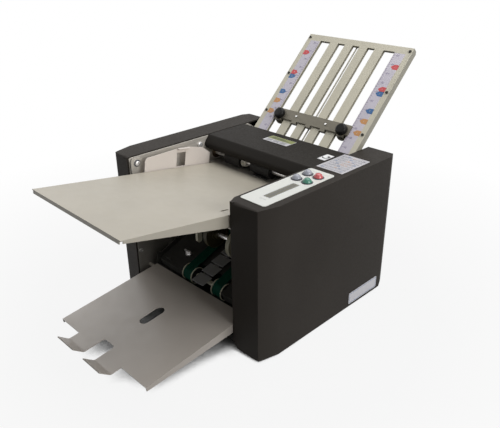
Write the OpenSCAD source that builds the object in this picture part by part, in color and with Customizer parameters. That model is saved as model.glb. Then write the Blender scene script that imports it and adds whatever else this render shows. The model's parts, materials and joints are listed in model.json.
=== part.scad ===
// Desk paper folding machine: friction feed, two fold plates, belt delivery.
// Millimetres. X is across the paper, +X at the control panel. Y runs from the
// front to the back, the way the paper is fed. Z is up, and the feet stand on Z = 0.
// Inside the modules X = 0 is the centre of the paper path and Y = 0 the front of
// the side covers; placed() moves the finished piece to the middle of the footprint.

/* [Body] */
// Height of the side covers, from their lower edge to their top face
cover_h = 259; // [216:1:311]
// Depth of the side covers, front to back
cover_depth = 337; // [330:1:405]
// Gap between the table and the lower edge of the covers
foot_gap = 6; // [4:0.5:12]
// Wall thickness of the moulded covers
wall = 2.5; // [2:0.1:3.5]
// Width of the left cover, outside the left side plate
left_bay_w = 48; // [44:1:60]
// Width of the right cover, outside the right side plate
right_bay_w = 56; // [52:1:75]
// How far the outer corners of the covers are drawn in at the front and the back
corner_inset = 9.5; // [6:0.5:12]
// Length of the drawn-in corner at the front
front_taper = 36; // [20:1:45]
// Length of the drawn-in corner at the back
rear_taper = 20; // [12:1:30]

/* [Frame] */
// Thickness of the sheet-steel side plates
plate_t = 2; // [1.5:0.1:3]
// Distance from the edge of the feed table to the left side plate
left_clear = 20.3; // [18:0.1:26]
// Distance from the edge of the feed table to the right side plate
right_clear = 7.5; // [7:0.1:12]
// Radius of the cross rods
rod_r = 4; // [3:0.5:5]
// Radius of the rubber feet
foot_r = 12; // [9:0.5:15]

/* [Feed table] */
// Width of the feed table
table_w = 230; // [222:1:300]
// How far the table stands out in front of the covers
table_reach = 178; // [140:1:220]
// Height of the table's front edge above the top of the covers
table_rise = 3.9; // [0:0.1:8]
// Fall of the table towards the rollers, in degrees
table_angle = 8.53; // [7:0.01:10]
// Sheet thickness of the table and the guides
sheet_t = 1.5; // [1:0.1:2]
// Depth of the table's side flange inside the machine
flange_deep = 20; // [14:1:24]

/* [Rollers and gears] */
// Radius of the fold rollers
fold_roller_r = 14.8; // [13.6:0.1:15.4]
// Gap between two fold rollers
nip_gap = 0.4; // [0.2:0.1:0.6]
// Radius of the journals of the fold rollers
journal_r = 5; // [4:0.1:6]
// Radius of the feed rollers
feed_roller_r = 13; // [12:0.1:14]
// Radius of the feed shaft and of the two delivery shafts
shaft_r = 4; // [3:0.1:4.5]
// Teeth of the gears on the rollers
roller_teeth = 20; // [18:1:24]
// Teeth of the idler between the feed gear and the upper roller gear
feed_idler_teeth = 14; // [13:1:16]
// Teeth of the idler that drives the delivery belts
exit_idler_teeth = 26; // [26:1:28]
// Width of the gears
gear_w = 8; // [6:0.5:9]
// Radial clearance of every shaft in its bore
running = 0.05; // [0.03:0.01:0.09]

/* [Fold plates] */
// Angle of the upper fold plate above the horizontal
upper_angle = 44.1; // [40:0.1:46]
// Length of the upper fold plate, from its mouth to its top edge
upper_len = 278; // [250:1:320]
// Half the width of the upper fold plate
upper_half_w = 121.5; // [112:0.5:121.8]
// Angle of the lower fold plate below the horizontal
lower_angle = 74; // [72:0.5:76]
// Gap between the two sheets of a fold plate
fold_gap = 3.5; // [3:0.1:3.8]
// Distance of the stop bar's centre line from the top edge
stop_from_top = 188.5; // [60:0.5:195]
// Radius of the clamping knobs
knob_r = 11; // [9:0.5:12]

/* [Delivery] */
// Width of the exit tray
exit_tray_w = 235; // [200:1:235]
// Length of the exit tray along its slope, without the tongues
exit_tray_len = 197; // [150:1:240]
// Rise of the exit tray towards the machine, in degrees
exit_tray_angle = 7.1; // [4:0.1:9]
// Width of a delivery belt
belt_w = 20; // [16:1:29]
// Distance of a belt's centre from the centre of the paper path
belt_x = 38.5; // [32:0.1:60]
// Radius of the delivery pulleys under the belt
pulley_r = 13; // [11:0.5:14]

/* [Control panel] */
// Travel of the push buttons
button_travel = 1.8; // [1:0.1:2]
// Radius of the push buttons
button_r = 7.6; // [6:0.1:8.5]

/* [Hidden] */
$fn = 48;

// Play between parts that only lie near each other
gap = 0.3;
// Play between a belt and its pulleys
belt_gap = 0.4;
// Overcut that lets a cut run clear of a face
over = 1;

// --- Side plates and covers ---
top_z = foot_gap + cover_h;
left_in = -(table_w / 2 + left_clear);
right_in = table_w / 2 + right_clear;
left_out = left_in - plate_t;
right_out = right_in + plate_t;
cover_left = left_out - left_bay_w;
cover_right = right_out + right_bay_w;
cover_front_in = table_w / 2 + 3;
cover_top_in = table_w / 2 - 3;
front_step = 3;
plate_front = 3;
plate_back = cover_depth - wall;
plate_top = top_z - 7;
left_plate_top = top_z - 2;
panel_y = plate_back - 4;
// Room in front of the rear panel
panel_room = 7;
base_z = foot_gap + 4;
base_t = 2;
base_top = base_z + base_t;
flange_w = 11;

// --- Paper path ---
feed_y = cover_depth - 138;
table_front_z = top_z + table_rise;
function table_z(y) = table_front_z - (y + table_reach) * tan(table_angle);
feed_z = table_z(feed_y) + feed_roller_r / cos(table_angle) + 0.1;
table_back = feed_y - 23;
table_len = (table_back + table_reach) / cos(table_angle);
pivot_y = 15.2;
pivot_z = top_z - 12.1;
pivot_r = 3;

// --- Fold rollers: the main roller in the middle, three rollers on it ---
centres = 2 * fold_roller_r + nip_gap;
gear_m = centres / roller_teeth;
addendum = 0.8 * gear_m;
dedendum = 1.25 * gear_m;
function pitch_r(n) = n * gear_m / 2;
function tip_r(n) = pitch_r(n) + addendum;
// Room for the idler between the feed gear and the upper roller's gear
feed_to_fold = 5.56;
nip_y = feed_y + 2 * tip_r(roller_teeth) + feed_to_fold + centres / 2 * sin(upper_angle);
nip_z = feed_z - 11.4;
main_y = nip_y + centres / 2 * sin(upper_angle);
main_z = nip_z - centres / 2 * cos(upper_angle);
upper_y = nip_y - centres / 2 * sin(upper_angle);
upper_z = nip_z + centres / 2 * cos(upper_angle);
rear_y = main_y + centres * sin(lower_angle);
rear_z = main_z + centres * cos(lower_angle);
lower_y = main_y;
lower_z = main_z - centres;
low_nip_y = (main_y + rear_y) / 2;
low_nip_z = (main_z + rear_z) / 2;
drum_left = left_in + 6.8;
drum_right = right_in - 5;
shaft_left = left_out - 12.7;
shaft_right = right_out + 1.5;

// --- Gears, outside the left side plate ---
gear_x = left_out - 3.7 - gear_w;
tooth_half = PI * gear_m / 4 - 0.18;
flank = tan(24);
function bearing_of(a, b) = atan2(b[1] - a[1], b[0] - a[0]);
// Turn of a gear that puts its gap on the tooth of the gear it meshes with
function mesh_turn(turn, n1, n2, dir) = dir + 180 - 180 / n2 + n1 / n2 * (dir - turn);
// Centre of an idler that meshes with gears at a and b, on the side given by sgn
function idler_at(a, ra, b, rb, sgn) =
  let (d = norm(b - a), s = (ra * ra - rb * rb + d * d) / (2 * d),
       h = sqrt(max(0, ra * ra - s * s)), u = (b - a) / d)
  a + u * s + sgn * h * [-u[1], u[0]];
upper_c = [upper_y, upper_z];
main_c = [main_y, main_z];
rear_c = [rear_y, rear_z];
lower_c = [lower_y, lower_z];
feed_c = [feed_y, feed_z];
roller_r = pitch_r(roller_teeth);
upper_turn = mesh_turn(0, roller_teeth, roller_teeth, bearing_of(main_c, upper_c));
rear_turn = mesh_turn(0, roller_teeth, roller_teeth, bearing_of(main_c, rear_c));
lower_turn = mesh_turn(0, roller_teeth, roller_teeth, bearing_of(main_c, lower_c));
feed_mid = roller_r + pitch_r(feed_idler_teeth);
feed_idler_c = idler_at(upper_c, feed_mid, feed_c, feed_mid, 1);
feed_idler_turn = mesh_turn(upper_turn, roller_teeth, feed_idler_teeth,
  bearing_of(upper_c, feed_idler_c));
feed_turn = mesh_turn(feed_idler_turn, feed_idler_teeth, roller_teeth,
  bearing_of(feed_idler_c, feed_c));

// --- Delivery belts ---
exit_mid = roller_r + pitch_r(exit_idler_teeth);
exit_front_c = [50, 58];
exit_rear_c = lower_c + (2 * exit_mid - 0.6) * [-sin(38.8), -cos(38.8)];
exit_idler_c = idler_at(lower_c, exit_mid, exit_rear_c, exit_mid, 1);
exit_idler_turn = mesh_turn(lower_turn, roller_teeth, exit_idler_teeth,
  bearing_of(lower_c, exit_idler_c));
exit_turn = mesh_turn(exit_idler_turn, exit_idler_teeth, roller_teeth,
  bearing_of(exit_idler_c, exit_rear_c));
belt_t = 1.2;
belt_angle = bearing_of(exit_front_c, exit_rear_c);
belt_run = norm(exit_rear_c - exit_front_c);
function belt_line(y) = exit_front_c[1] + (y - exit_front_c[0]) * tan(belt_angle);
rim_r = pulley_r + belt_gap + belt_t + 1;
rim_t = 1.5;
pulley_half = belt_w / 2 + 1 + rim_t;
pulley_bore_r = shaft_r;
conveyor_left = -(table_w / 2 + 3);
conveyor_right = table_w / 2 - 3;
bed_low = 8;
housing_top = 11.5;
front_rod_y = exit_front_c[0] + 30;
rear_rod_y = exit_rear_c[0] - 30;
stack_rod_c = [60, top_z - 109.5];
rods = [[front_rod_y, belt_line(front_rod_y)], [rear_rod_y, belt_line(rear_rod_y)], stack_rod_c];
slat_n = 6;
slat_half_w = 15;
slat_len = 21.5;
slat_pitch = 23;
slat_front_y = 27.4;
slat_t = 1.2;
slat_rise = 5.2;
slat_front_z = exit_front_c[1] + 7.4;
function slat_z(k) = slat_front_z + k * slat_pitch * tan(belt_angle);

// --- Motor and drive belt ---
motor_r = 30;
motor_c = [exit_rear_c[0] - 20, base_top + 4 + motor_r];
motor_len = 70;
motor_shaft_r = 4;
pulley_x = gear_x - 3 - 8;
pulley_w = 8;
motor_pulley_r = 10;
main_pulley_r = 20;
drive_belt_t = 1.6;

// --- Upper fold plate, in its own frame: y up the slope, z out of the top face ---
fold_sheet = 1.2;
mouth = 14;
upper_mid = fold_sheet + fold_gap / 2;
upper_top_y = nip_y + (upper_len + mouth) * cos(upper_angle) - upper_mid * sin(upper_angle);
upper_top_z = nip_z + (upper_len + mouth) * sin(upper_angle) + upper_mid * cos(upper_angle);
upper_flange = 13;
flange_chamfer = 4;
slot_x = [-74.5, -34.5, 0, 35, 75];
slot_w = [24, 16.5, 16, 16, 24];
slot_top = 13;
slot_end = upper_len - 16;
back_z = -2 * fold_sheet - fold_gap;
plate_screw_x = upper_half_w - 5;
plate_screw_d = [8, 98, 188.7];
pin_d = [240, 264];
pin_z = -9;
stop_half_w = 90;
stop_w = 20.5;
stop_t = 3;
knob_x = 75;
stud_r = 2.5;
knob_base = gap + stop_t + gap;
knob_h = 9.5;
// The knobs sit a little below the centre line of the stop bar
knob_drop = 3;
finger_w = [14, 11, 11, 11, 14];

// --- Lower fold plate, in its own frame: y down the slope, z out of the rear face ---
lower_half_w = 118;
// The plate ends over the base, or before the rear panel where that comes first
lower_len = min((low_nip_z - 49) / sin(lower_angle),
  (panel_y - panel_room - low_nip_y) / cos(lower_angle));
lower_slot_x = [-70, 0, 70];
lower_slot_w = 14;
lower_stop_y = 103;
lower_stop_half_w = 84;

// --- Top cover ---
bend_y = feed_y - 16;
cover_tail = feed_y + 76;
hinge_y = cover_tail - 7;
hinge_z = top_z - 10;
hinge_r = 3;
lid_left = left_in + gap;
lid_right = table_w / 2 + 0.7;

// --- Exit tray ---
tray_pivot_y = 24.8;
tray_pivot_z = 48;
tray_pivot_r = 3;
tray_back_y = 28.4;
tray_front_y = tray_back_y - exit_tray_len * cos(exit_tray_angle);
tray_front_z = 54.8 - exit_tray_len * sin(exit_tray_angle);
tongue_x = [[-64.5, -19], [10, 55]];
tongue_out = 15.4;
notch_deep = 19;
flap_r = 6;
flap_turn = 46;
flap_tip = 19.4;
tip_y = -tongue_out - flap_r * sin(flap_turn) - flap_tip * cos(flap_turn);
tip_z = flap_r * (1 - cos(flap_turn)) + flap_tip * sin(flap_turn);

// --- Control panel ---
membrane_t = 0.8;
membrane_x = [table_w / 2 + 2, cover_right - 13.5];
membrane_y = [20, 180];
button_at = [[membrane_x[0] + 14, 129], [membrane_x[0] + 14, 155.5],
  [membrane_x[0] + 35.5, 155.3], [membrane_x[0] + 35.5, 128.7]];
window_x = [membrane_x[0] + 22.5, membrane_x[0] + 35];
window_y = [47, 112];
badge_t = 0.6;

// --- Footprint ---
front_most = tray_front_y + (tip_y - sheet_t * sin(flap_turn)) * cos(exit_tray_angle)
  - (tip_z - sheet_t * cos(flap_turn)) * sin(exit_tray_angle);
mid_x = (cover_left + cover_right + badge_t) / 2;
upper_back = upper_top_y + (upper_flange - flange_chamfer) * sin(upper_angle);
mid_y = (front_most + upper_back) / 2;

// ---------- helpers ----------
module placed() translate([-mid_x, -mid_y, 0]) children();

// The two ends of a width w laid about c
function span(c, w) = [c - w / 2, c + w / 2];

// A bar along X from x0 to x1 with the outline given in (Y, Z)
module across(x0, x1) translate([x0, 0, 0]) rotate([90, 0, 90]) linear_extrude(x1 - x0) children();

module rod(x0, x1, r, c) translate([x0, c[0], c[1]]) rotate([0, 90, 0]) cylinder(r = r, h = x1 - x0);

module block(x, y, z) translate([x[0], y[0], z[0]]) cube([x[1] - x[0], y[1] - y[0], z[1] - z[0]]);

module rounded_rect(x, y, r) {
  translate([x[0] + r, y[0]]) square([x[1] - x[0] - 2 * r, y[1] - y[0]]);
  translate([x[0], y[0] + r]) square([x[1] - x[0], y[1] - y[0] - 2 * r]);
  for (cx = [x[0] + r, x[1] - r], cy = [y[0] + r, y[1] - r]) translate([cx, cy]) circle(r);
}

// Two circles joined by their outer tangents
module belt_outline(a, ra, b, rb) {
  d = norm(b - a);
  dir = bearing_of(a, b);
  lean = acos((ra - rb) / d);
  translate(a) circle(ra);
  translate(b) circle(rb);
  polygon([
    a + ra * [cos(dir + lean), sin(dir + lean)],
    a + ra * [cos(dir - lean), sin(dir - lean)],
    b + rb * [cos(dir - lean), sin(dir - lean)],
    b + rb * [cos(dir + lean), sin(dir + lean)]
  ]);
}

module belt_loop(x0, x1, a, ra, b, rb, t) across(x0, x1) difference() {
  belt_outline(a, ra + t, b, rb + t);
  belt_outline(a, ra, b, rb);
}

// Spur gear with straight flanks, its first tooth turned to the angle given
module gear(x0, w, c, n, turn, bore) {
  rp = pitch_r(n);
  profile = [[rp - dedendum, tooth_half + dedendum * flank],
    [rp + addendum, tooth_half - addendum * flank]];
  across(x0, x0 + w) translate(c) difference() {
    polygon([for (i = [0 : n - 1], k = [0 : 3])
      let (p = profile[k == 0 || k == 3 ? 0 : 1], side = k < 2 ? -1 : 1,
           a = turn + i * 360 / n + side * asin(p[1] / p[0]))
      p[0] * [cos(a), sin(a)]]);
    circle(bore);
  }
}

module bush(x0, dir, c, bore) difference() {
  union() {
    rod(min(x0, x0 + dir * plate_t), max(x0, x0 + dir * plate_t), bush_r, c);
    rod(min(x0, x0 - dir * bush_flange), max(x0, x0 - dir * bush_flange), bush_r + 2.5, c);
  }
  rod(x0 - 5, x0 + 5, bore, c);
}
bush_r = 8;
bush_flange = 1.5;
fold_centres = [upper_c, main_c, rear_c, lower_c];
shaft_centres = [feed_c, exit_rear_c];

// ---------- frame ----------
module base_plate() placed() color("DimGray") {
  base_x = [cover_left + 14, cover_right - 14];
  difference() {
    union() {
      block(base_x, [8, plate_back - 7], [base_z, base_top]);
      block([left_in, right_in], [8, 10], [base_z, base_top + 10]);
    }
    for (p = feet_at) translate([p[0], p[1], base_z - over])
      cylinder(r = foot_stud_r + 0.1, h = base_t + 2 * over);
  }
}
feet_at = [for (x = [cover_left + 28, cover_right - 28], y = [40, cover_depth - 40]) [x, y]];

// Outline of a side plate up to the height top, its front corner cut back by c
module side_plate_outline(top, c) difference() {
  polygon([[plate_front, base_top], [plate_front, top - c], [plate_front + c, top],
    [plate_back - 48, top], [plate_back, top - 30], [plate_back, base_top]]);
  for (c = fold_centres) translate(c) circle(bush_r + running);
  for (c = shaft_centres) translate(c) circle(bush_r + running);
  for (c = rods) translate(c) circle(rod_r - 1 + running);
  translate([pivot_y, pivot_z]) circle(pivot_r + running);
  translate([tray_pivot_y, tray_pivot_z]) circle(tray_pivot_r + running);
  translate([hinge_y, hinge_z]) circle(hinge_r + running);
  for (p = plate_pins_at) translate(p) circle(pin_r + running);
}
pin_r = 3;
plate_pins_at = [for (d = pin_d)
  [upper_top_y - d * cos(upper_angle) - pin_z * sin(upper_angle),
   upper_top_z - d * sin(upper_angle) + pin_z * cos(upper_angle)]];

// Rear and lower flanges of a side plate
module plate_flanges(x) {
  block(x, [plate_back - plate_t, plate_back], [base_top + 8, plate_top - 40]);
  block(x, [plate_front + 10, plate_back - 12], [base_top, base_top + plate_t]);
}

module left_side_plate() placed() color("Gainsboro") difference() {
  union() {
    across(left_out, left_in) side_plate_outline(left_plate_top, 2);
    plate_flanges([left_out - flange_w, left_out]);
  }
  rod(left_out - over, left_in + over, motor_shaft_r + 4, motor_c);
}

module right_side_plate() placed() color("Gainsboro") {
  across(right_in, right_out) side_plate_outline(plate_top, 14);
  plate_flanges([right_out, right_out + flange_w]);
}

module tie_rods() placed() color("Silver") for (c = rods) {
  rod(left_in, right_in, rod_r, c);
  rod(left_out - 4, right_out + 4, rod_r - 1, c);
}

// Guide sheet, separator window and carrier channel in one bent sheet
module cross_beam() placed() color("DarkGray") difference() {
  across(left_in, right_in) polygon([
    [guide_front, guide_z], [feed_y, guide_z - 1.5], [guide_back, guide_z - 5],
    [guide_back, beam_z], [guide_front, beam_z]]);
  across(left_in - over, right_in + over) polygon([
    [guide_front + sheet_t, guide_z - sheet_t], [feed_y, guide_z - 1.5 - sheet_t],
    [guide_back - sheet_t, guide_z - 5 - sheet_t],
    [guide_back - sheet_t, beam_z + sheet_t], [guide_front + sheet_t, beam_z + sheet_t]]);
  block([separator_x - separator_half - 3, separator_x + separator_half + 3],
    [feed_y - 12, feed_y + 14], [beam_z + 5, guide_z + over]);
}
guide_front = feed_y - 20;
guide_back = nip_y - 9.5;
guide_z = feed_z - feed_roller_r + 0.6;
beam_z = guide_z - 27;
separator_x = -7.5;
separator_half = 16;
separator_top = feed_z - feed_roller_r - 0.5;

module rear_panel() placed() color("DimGray") difference() {
  union() {
    block([left_in, right_in], [panel_y, panel_y + plate_t], [base_top, rear_bend_z]);
    across(left_in, right_in) polygon([
      [panel_y, rear_bend_z - plate_t], [panel_y + plate_t, rear_bend_z - plate_t],
      [panel_y + plate_t, rear_bend_z], [panel_y - rear_lean + plate_t, rear_bend_z + rear_rise],
      [panel_y - rear_lean, rear_bend_z + rear_rise], [panel_y, rear_bend_z]]);
  }
  block([left_in + 35, right_in - 35], [panel_y - over, plate_back + over],
    [base_top + 46, rear_bend_z - 56]);
}
rear_bend_z = top_z - 50;
rear_lean = 27;
rear_rise = 23;
inlet_x = [cover_right - corner_inset - 30, cover_right - corner_inset - 4];
inlet_z = [60, 80];
switch_z = [92, 112];

module shaft_bushes() placed() color("Peru") {
  for (c = fold_centres) {
    bush(left_in, -1, c, journal_r + running);
    bush(right_in, 1, c, journal_r + running);
  }
  for (c = shaft_centres) {
    bush(left_in, -1, c, shaft_r + running);
    bush(right_in, 1, c, shaft_r + running);
  }
}

module rubber_feet() placed() color("Black") for (p = feet_at) translate([p[0], p[1], 0])
  difference() {
    union() {
      cylinder(r1 = foot_r - 1.5, r2 = foot_r, h = 2);
      translate([0, 0, 2]) cylinder(r = foot_r, h = base_z - 2);
      translate([0, 0, base_z]) cylinder(r = foot_stud_r, h = base_t + 3);
    }
    translate([0, 0, -over]) cylinder(r = 3.5, h = 4 + over);
  }
foot_stud_r = 2.5;

// ---------- side covers ----------
// Plan of a cover as seen on the right side, with its walls moved in by w
function cover_plan(x_in, x_out, w) = [
  [x_in, w], [x_out - corner_inset - w * 0.9, front_step + w],
  [x_out - w, front_step + front_taper + w * 0.1],
  [x_out - w, cover_depth - rear_taper - w * 0.2],
  [x_out - corner_inset - w * 0.7, cover_depth - w], [x_in, cover_depth - w]];

module cover_side(w) translate([w, foot_gap]) rounded_rect([0, cover_depth - 2 * w],
  [w == 0 ? 0 : -20, cover_h - w], w == 0 ? 6 : 4);

// Rounding of the lower inner corner of the front wall
foot_round = 14;

// Shell of a cover: front, outer and rear walls, closed on top and open inside and below
module cover_shell(x_in, x_out) difference() {
  intersection() {
    linear_extrude(top_z) polygon(cover_plan(x_in, x_out, 0));
    across(x_in - over, x_out + over) cover_side(0);
  }
  intersection() {
    translate([0, 0, -over]) linear_extrude(top_z - wall + over)
      polygon(cover_plan(x_in - over, x_out, wall));
    across(x_in - 2 * over, x_out + over) cover_side(wall);
  }
  translate([x_in, -over, foot_gap]) rotate([-90, 0, 0])
    linear_extrude(front_step + 2 * over + wall) difference() {
      translate([-over, -foot_round]) square([foot_round + over, foot_round + over]);
      translate([foot_round, -foot_round]) circle(foot_round);
    }
}

module screw_holes(x, y, r) for (z = cover_screw_z) translate([x, y, z]) rotate([-90, 0, 0])
  cylinder(r = r, h = wall + 2 * over);
cover_screw_z = [foot_gap + 40, top_z - 60];
cover_screw_r = 2;

module left_cover() placed() color([0.24, 0.23, 0.21]) difference() {
  mirror([1, 0, 0]) cover_shell(-left_out + 0.2, -cover_left);
  screw_holes(left_out - 8, plate_back - over, cover_screw_r + 0.1);
}

module right_cover() placed() color([0.24, 0.23, 0.21]) difference() {
  union() {
    cover_shell(right_in + 0.5, cover_right);
    block([cover_front_in, right_in + 1], [0.4, wall], [foot_gap + 14, top_z]);
    translate([0, 0, top_z - wall]) linear_extrude(wall) polygon([
      [right_in + 2, wall], [cover_front_in, wall], [cover_top_in, 15], [cover_top_in, bend_y - 13],
      [lid_right + gap, bend_y - 13], [lid_right + gap, cover_tail + gap], [right_in, cover_tail + gap],
      [right_in, cover_depth - 2 * wall], [right_in + 2, cover_depth - 2 * wall]]);
  }
  screw_holes(right_out + 8, plate_back - over, cover_screw_r + 0.1);
  block(inlet_x, [plate_back - over, cover_depth + over], inlet_z);
  block(inlet_x + [3, -3], [plate_back - over, cover_depth + over], switch_z);
  for (p = button_at) translate([p[0], p[1], top_z - wall - over])
    cylinder(r = button_r + 0.4, h = wall + 2 * over);
}

// ---------- screws, nuts and studs ----------
module screws() placed() color("Silver") {
  // Pivot screws of the feed table
  for (s = [[left_out - 4, ear_left[1] + 0.3, ear_left[1] + 3],
            [ear_right[0] - 3, ear_right[0] - 0.3, right_out + 4]])
    rod(s[0], s[2], pivot_r, [pivot_y, pivot_z]);
  rod(ear_left[1] + 0.3, ear_left[1] + 1, pivot_head_r + 2, [pivot_y, pivot_z]);
  rod(ear_left[1] + 1, ear_left[1] + 3, pivot_head_r, [pivot_y, pivot_z]);
  rod(ear_right[0] - 1, ear_right[0] - 0.3, pivot_head_r + 2, [pivot_y, pivot_z]);
  rod(ear_right[0] - 2.4, ear_right[0] - 1, pivot_head_r, [pivot_y, pivot_z]);
  // Heads on the inner face of the left side plate
  rod(left_in, left_in + 2.2, 5.5, [feed_y - 40, top_z - 15]);
  rod(left_in, left_in + 2.2, 3.6, [8, foot_gap + 78]);
  // Thumb screw on the left housing of the belts
  on_belts() translate([conveyor_left + 46, 24, housing_top]) {
    cylinder(r = 6, h = 1.2);
    cylinder(r = 3.4, h = 5);
    translate([-8, -1.2, 1.2]) cube([16, 2.4, 6.8]);
  }
  // Nuts of the cross rods
  for (c = rods) {
    nut([left_out - 3, left_out], c);
    nut([right_out, right_out + 3], c);
  }
  // Screws that hold the covers to the side plates
  for (x = [left_out - 8, right_out + 8], z = cover_screw_z) translate([x, 0, z]) {
    translate([0, cover_depth, 0]) rotate([-90, 0, 0]) cylinder(r = 4, h = 2);
    translate([0, plate_back, 0]) rotate([-90, 0, 0]) cylinder(r = cover_screw_r, h = wall);
  }
  // Studs of the two idlers
  for (c = [feed_idler_c, exit_idler_c]) {
    rod(gear_x - 1.5, left_out, rod_r, c);
    rod(gear_x + gear_w + 0.3, left_out, rod_r + 2, c);
    rod(gear_x - 1.5, gear_x - 0.3, rod_r + 2, c);
  }
}

pivot_head_r = 4.4;

module nut(x, c) difference() {
  translate([x[0], c[0], c[1]]) rotate([0, 90, 0]) cylinder(r = 6, h = x[1] - x[0], $fn = 6);
  rod(x[0] - over, x[1] + over, rod_r - 1 + running, c);
}

// ---------- control panel ----------
module control_panel() placed() color("WhiteSmoke")
  translate([0, 0, top_z]) linear_extrude(membrane_t) difference() {
    rounded_rect(membrane_x, membrane_y, 5);
    rounded_rect(window_x, window_y, 1);
    for (p = button_at) translate(p) circle(button_r + 0.4);
  }

module display_window() placed() color([0.51, 0.5, 0.42])
  translate([0, 0, top_z]) linear_extrude(membrane_t + 0.1)
    rounded_rect(window_x + [0.1, -0.1], window_y + [0.1, -0.1], 1);

// Printed plates: one on the top face of the right cover, one at the foot of its side
module cover_plates() placed() color("Lavender") {
  translate([0, 0, top_z]) linear_extrude(0.4)
    rounded_rect([membrane_x[0], membrane_x[1] + 2.5], [bend_y + 10.5, bend_y + 87], 1);
  translate([cover_right, 0, 0]) across(0, badge_t)
    rounded_rect([cover_depth - 115, cover_depth - 31], [foot_gap + 5, foot_gap + 27.5], 2);
}

// Domed cap on a round body, held under the cover by its flange
module button(p) placed() translate([p[0], p[1], 0]) rotate_extrude() polygon([
  [0, button_low], [4, button_low], [4, button_flange - 1.2], [button_r + 1.6, button_flange - 1.2],
  [button_r + 1.6, button_flange], [button_r, button_flange], [button_r, top_z + 2.4],
  [button_r - 0.8, top_z + 4], [button_r - 2.2, top_z + 6.2], [button_r - 4, top_z + 7.6],
  [button_r - 5.8, top_z + 8.2], [0, top_z + 8.4]]);
button_flange = top_z - wall - gap;
button_low = button_flange - 4.5;
board_z = button_low - button_travel - 0.2 - 2.5;

module start_button() color([0.2, 0.53, 0.45]) button(button_at[3]);
module stop_button() color([0.78, 0.3, 0.32]) button(button_at[2]);
module mode_button() color([0.5, 0.54, 0.6]) button(button_at[0]);
module count_button() color([0.5, 0.54, 0.6]) button(button_at[1]);

module circuit_boards() placed() color("DarkGreen") {
  board_x = [right_out + 4, membrane_x[1]];
  // Key board with its switches and its posts under the cover
  block(board_x, [28, 172], [board_z - 1.6, board_z]);
  for (p = button_at) translate([p[0], p[1], board_z]) cylinder(r = 3.5, h = 2.5);
  for (x = [board_x[0] + 4, board_x[1] - 4], y = [34, 100])
    translate([x, y, board_z]) cylinder(r = 2.5, h = top_z - wall - board_z);
  // Main board on four spacers, above the nut of the front rod
  board_low = max(70, belt_line(front_rod_y) + 0.7);
  block([right_out + 8, right_out + 9.6], [70, 240], [board_low, 190]);
  for (y = [78, 232], z = [board_low + 8, 182]) rod(right_out, right_out + 8, 3, [y, z]);
  block([right_out + 9.6, right_out + 38], [90, 140], [85, 130]);
  block([right_out + 9.6, right_out + 22], [160, 200], [90, 112]);
  for (z = [145, 165]) rod(right_out + 9.6, right_out + 30, 9, [110, z]);
  for (y = [160, 180, 200]) block([right_out + 9.6, right_out + 14], [y, y + 12], [140, 172]);
}

module power_inlet() placed() color([0.1, 0.1, 0.1]) {
  difference() {
    union() {
      block(inlet_x + [0.2, -0.2], [cover_depth - 24, cover_depth], inlet_z + [0.2, -0.2]);
      block(inlet_x + [-2, 2], [cover_depth, cover_depth + inlet_rim], inlet_z + [-2, 2]);
    }
    block(inlet_x + [2, -2], [cover_depth - 20, cover_depth + inlet_rim + over], inlet_z + [2, -2]);
  }
  for (k = [-1 : 1]) block(span(inlet_mid + 7 * k, 2), [cover_depth - 20, cover_depth - 4],
    k == 0 ? inlet_z + [11, -5] : inlet_z + [5, -11]);
  switch_frame();
}
inlet_mid = (inlet_x[0] + inlet_x[1]) / 2;

module switch_frame() difference() {
  union() {
    block(inlet_x + [3.2, -3.2], [cover_depth - 18, cover_depth], switch_z + [0.2, -0.2]);
    block(inlet_x + [1, -1], [cover_depth, cover_depth + inlet_rim], switch_z + [-2, 2]);
  }
  block(inlet_x + [5, -5], [cover_depth - 14, cover_depth + inlet_rim + over], switch_z + [2, -2]);
  rod(inlet_x[0] + 3.8, inlet_x[1] - 3.8, rocker_pin_r + running, rocker_c);
}
rocker_pin_r = 1.2;
rocker_c = [cover_depth - 4.5, (switch_z[0] + switch_z[1]) / 2];
inlet_rim = 1.6;

// Rocker with its two pins, tipped so that its lower half stands out
module power_switch() placed() color([0.05, 0.05, 0.05])
  translate([0, rocker_c[0], rocker_c[1]]) rotate([-rocker_tip, 0, 0]) {
    rod(inlet_x[0] + 4, inlet_x[1] - 4, rocker_pin_r, [0, 0]);
    difference() {
      rod(inlet_x[0] + 5.3, inlet_x[1] - 5.3, 7.4, [0, 0]);
      block([inlet_x[0], inlet_x[1]], [-10, -3], [-12, 12]);
      for (m = [0, 1]) mirror([0, 0, m]) rotate([rocker_tip, 0, 0])
        block([inlet_x[0], inlet_x[1]], [3.4, 12], [-4, 12]);
    }
  }
rocker_tip = 11;

// ---------- feed table ----------
module on_table() translate([0, -table_reach, table_front_z]) rotate([-table_angle, 0, 0]) children();

// Height of the underside of the table
function table_under(y) = table_z(y) - sheet_t / cos(table_angle);

module feed_table() placed() color([0.77, 0.74, 0.67]) on_table() {
  half = table_w / 2;
  difference() {
    block([-half, half], [0, table_len], [-sheet_t, 0]);
    block([half - 20, half - 17], [table_reach + 4, table_reach + 19], [-sheet_t - over, over]);
  }
  block([-half + 3, half - 3], [0, sheet_t], [-6, -sheet_t]);
  for (x = [-half, half - sheet_t]) across(x, x + sheet_t) polygon([
    [4, -sheet_t], [table_len, -sheet_t], [table_len, -flange_deep], [table_reach, -flange_deep], [4, -5]]);
}

ear_left = [left_in + 2.3, left_in + 4.3];
ear_right = [right_in - 4, right_in - 2];
bracket_z = table_z(pivot_y) - flange_deep - 5;

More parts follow.
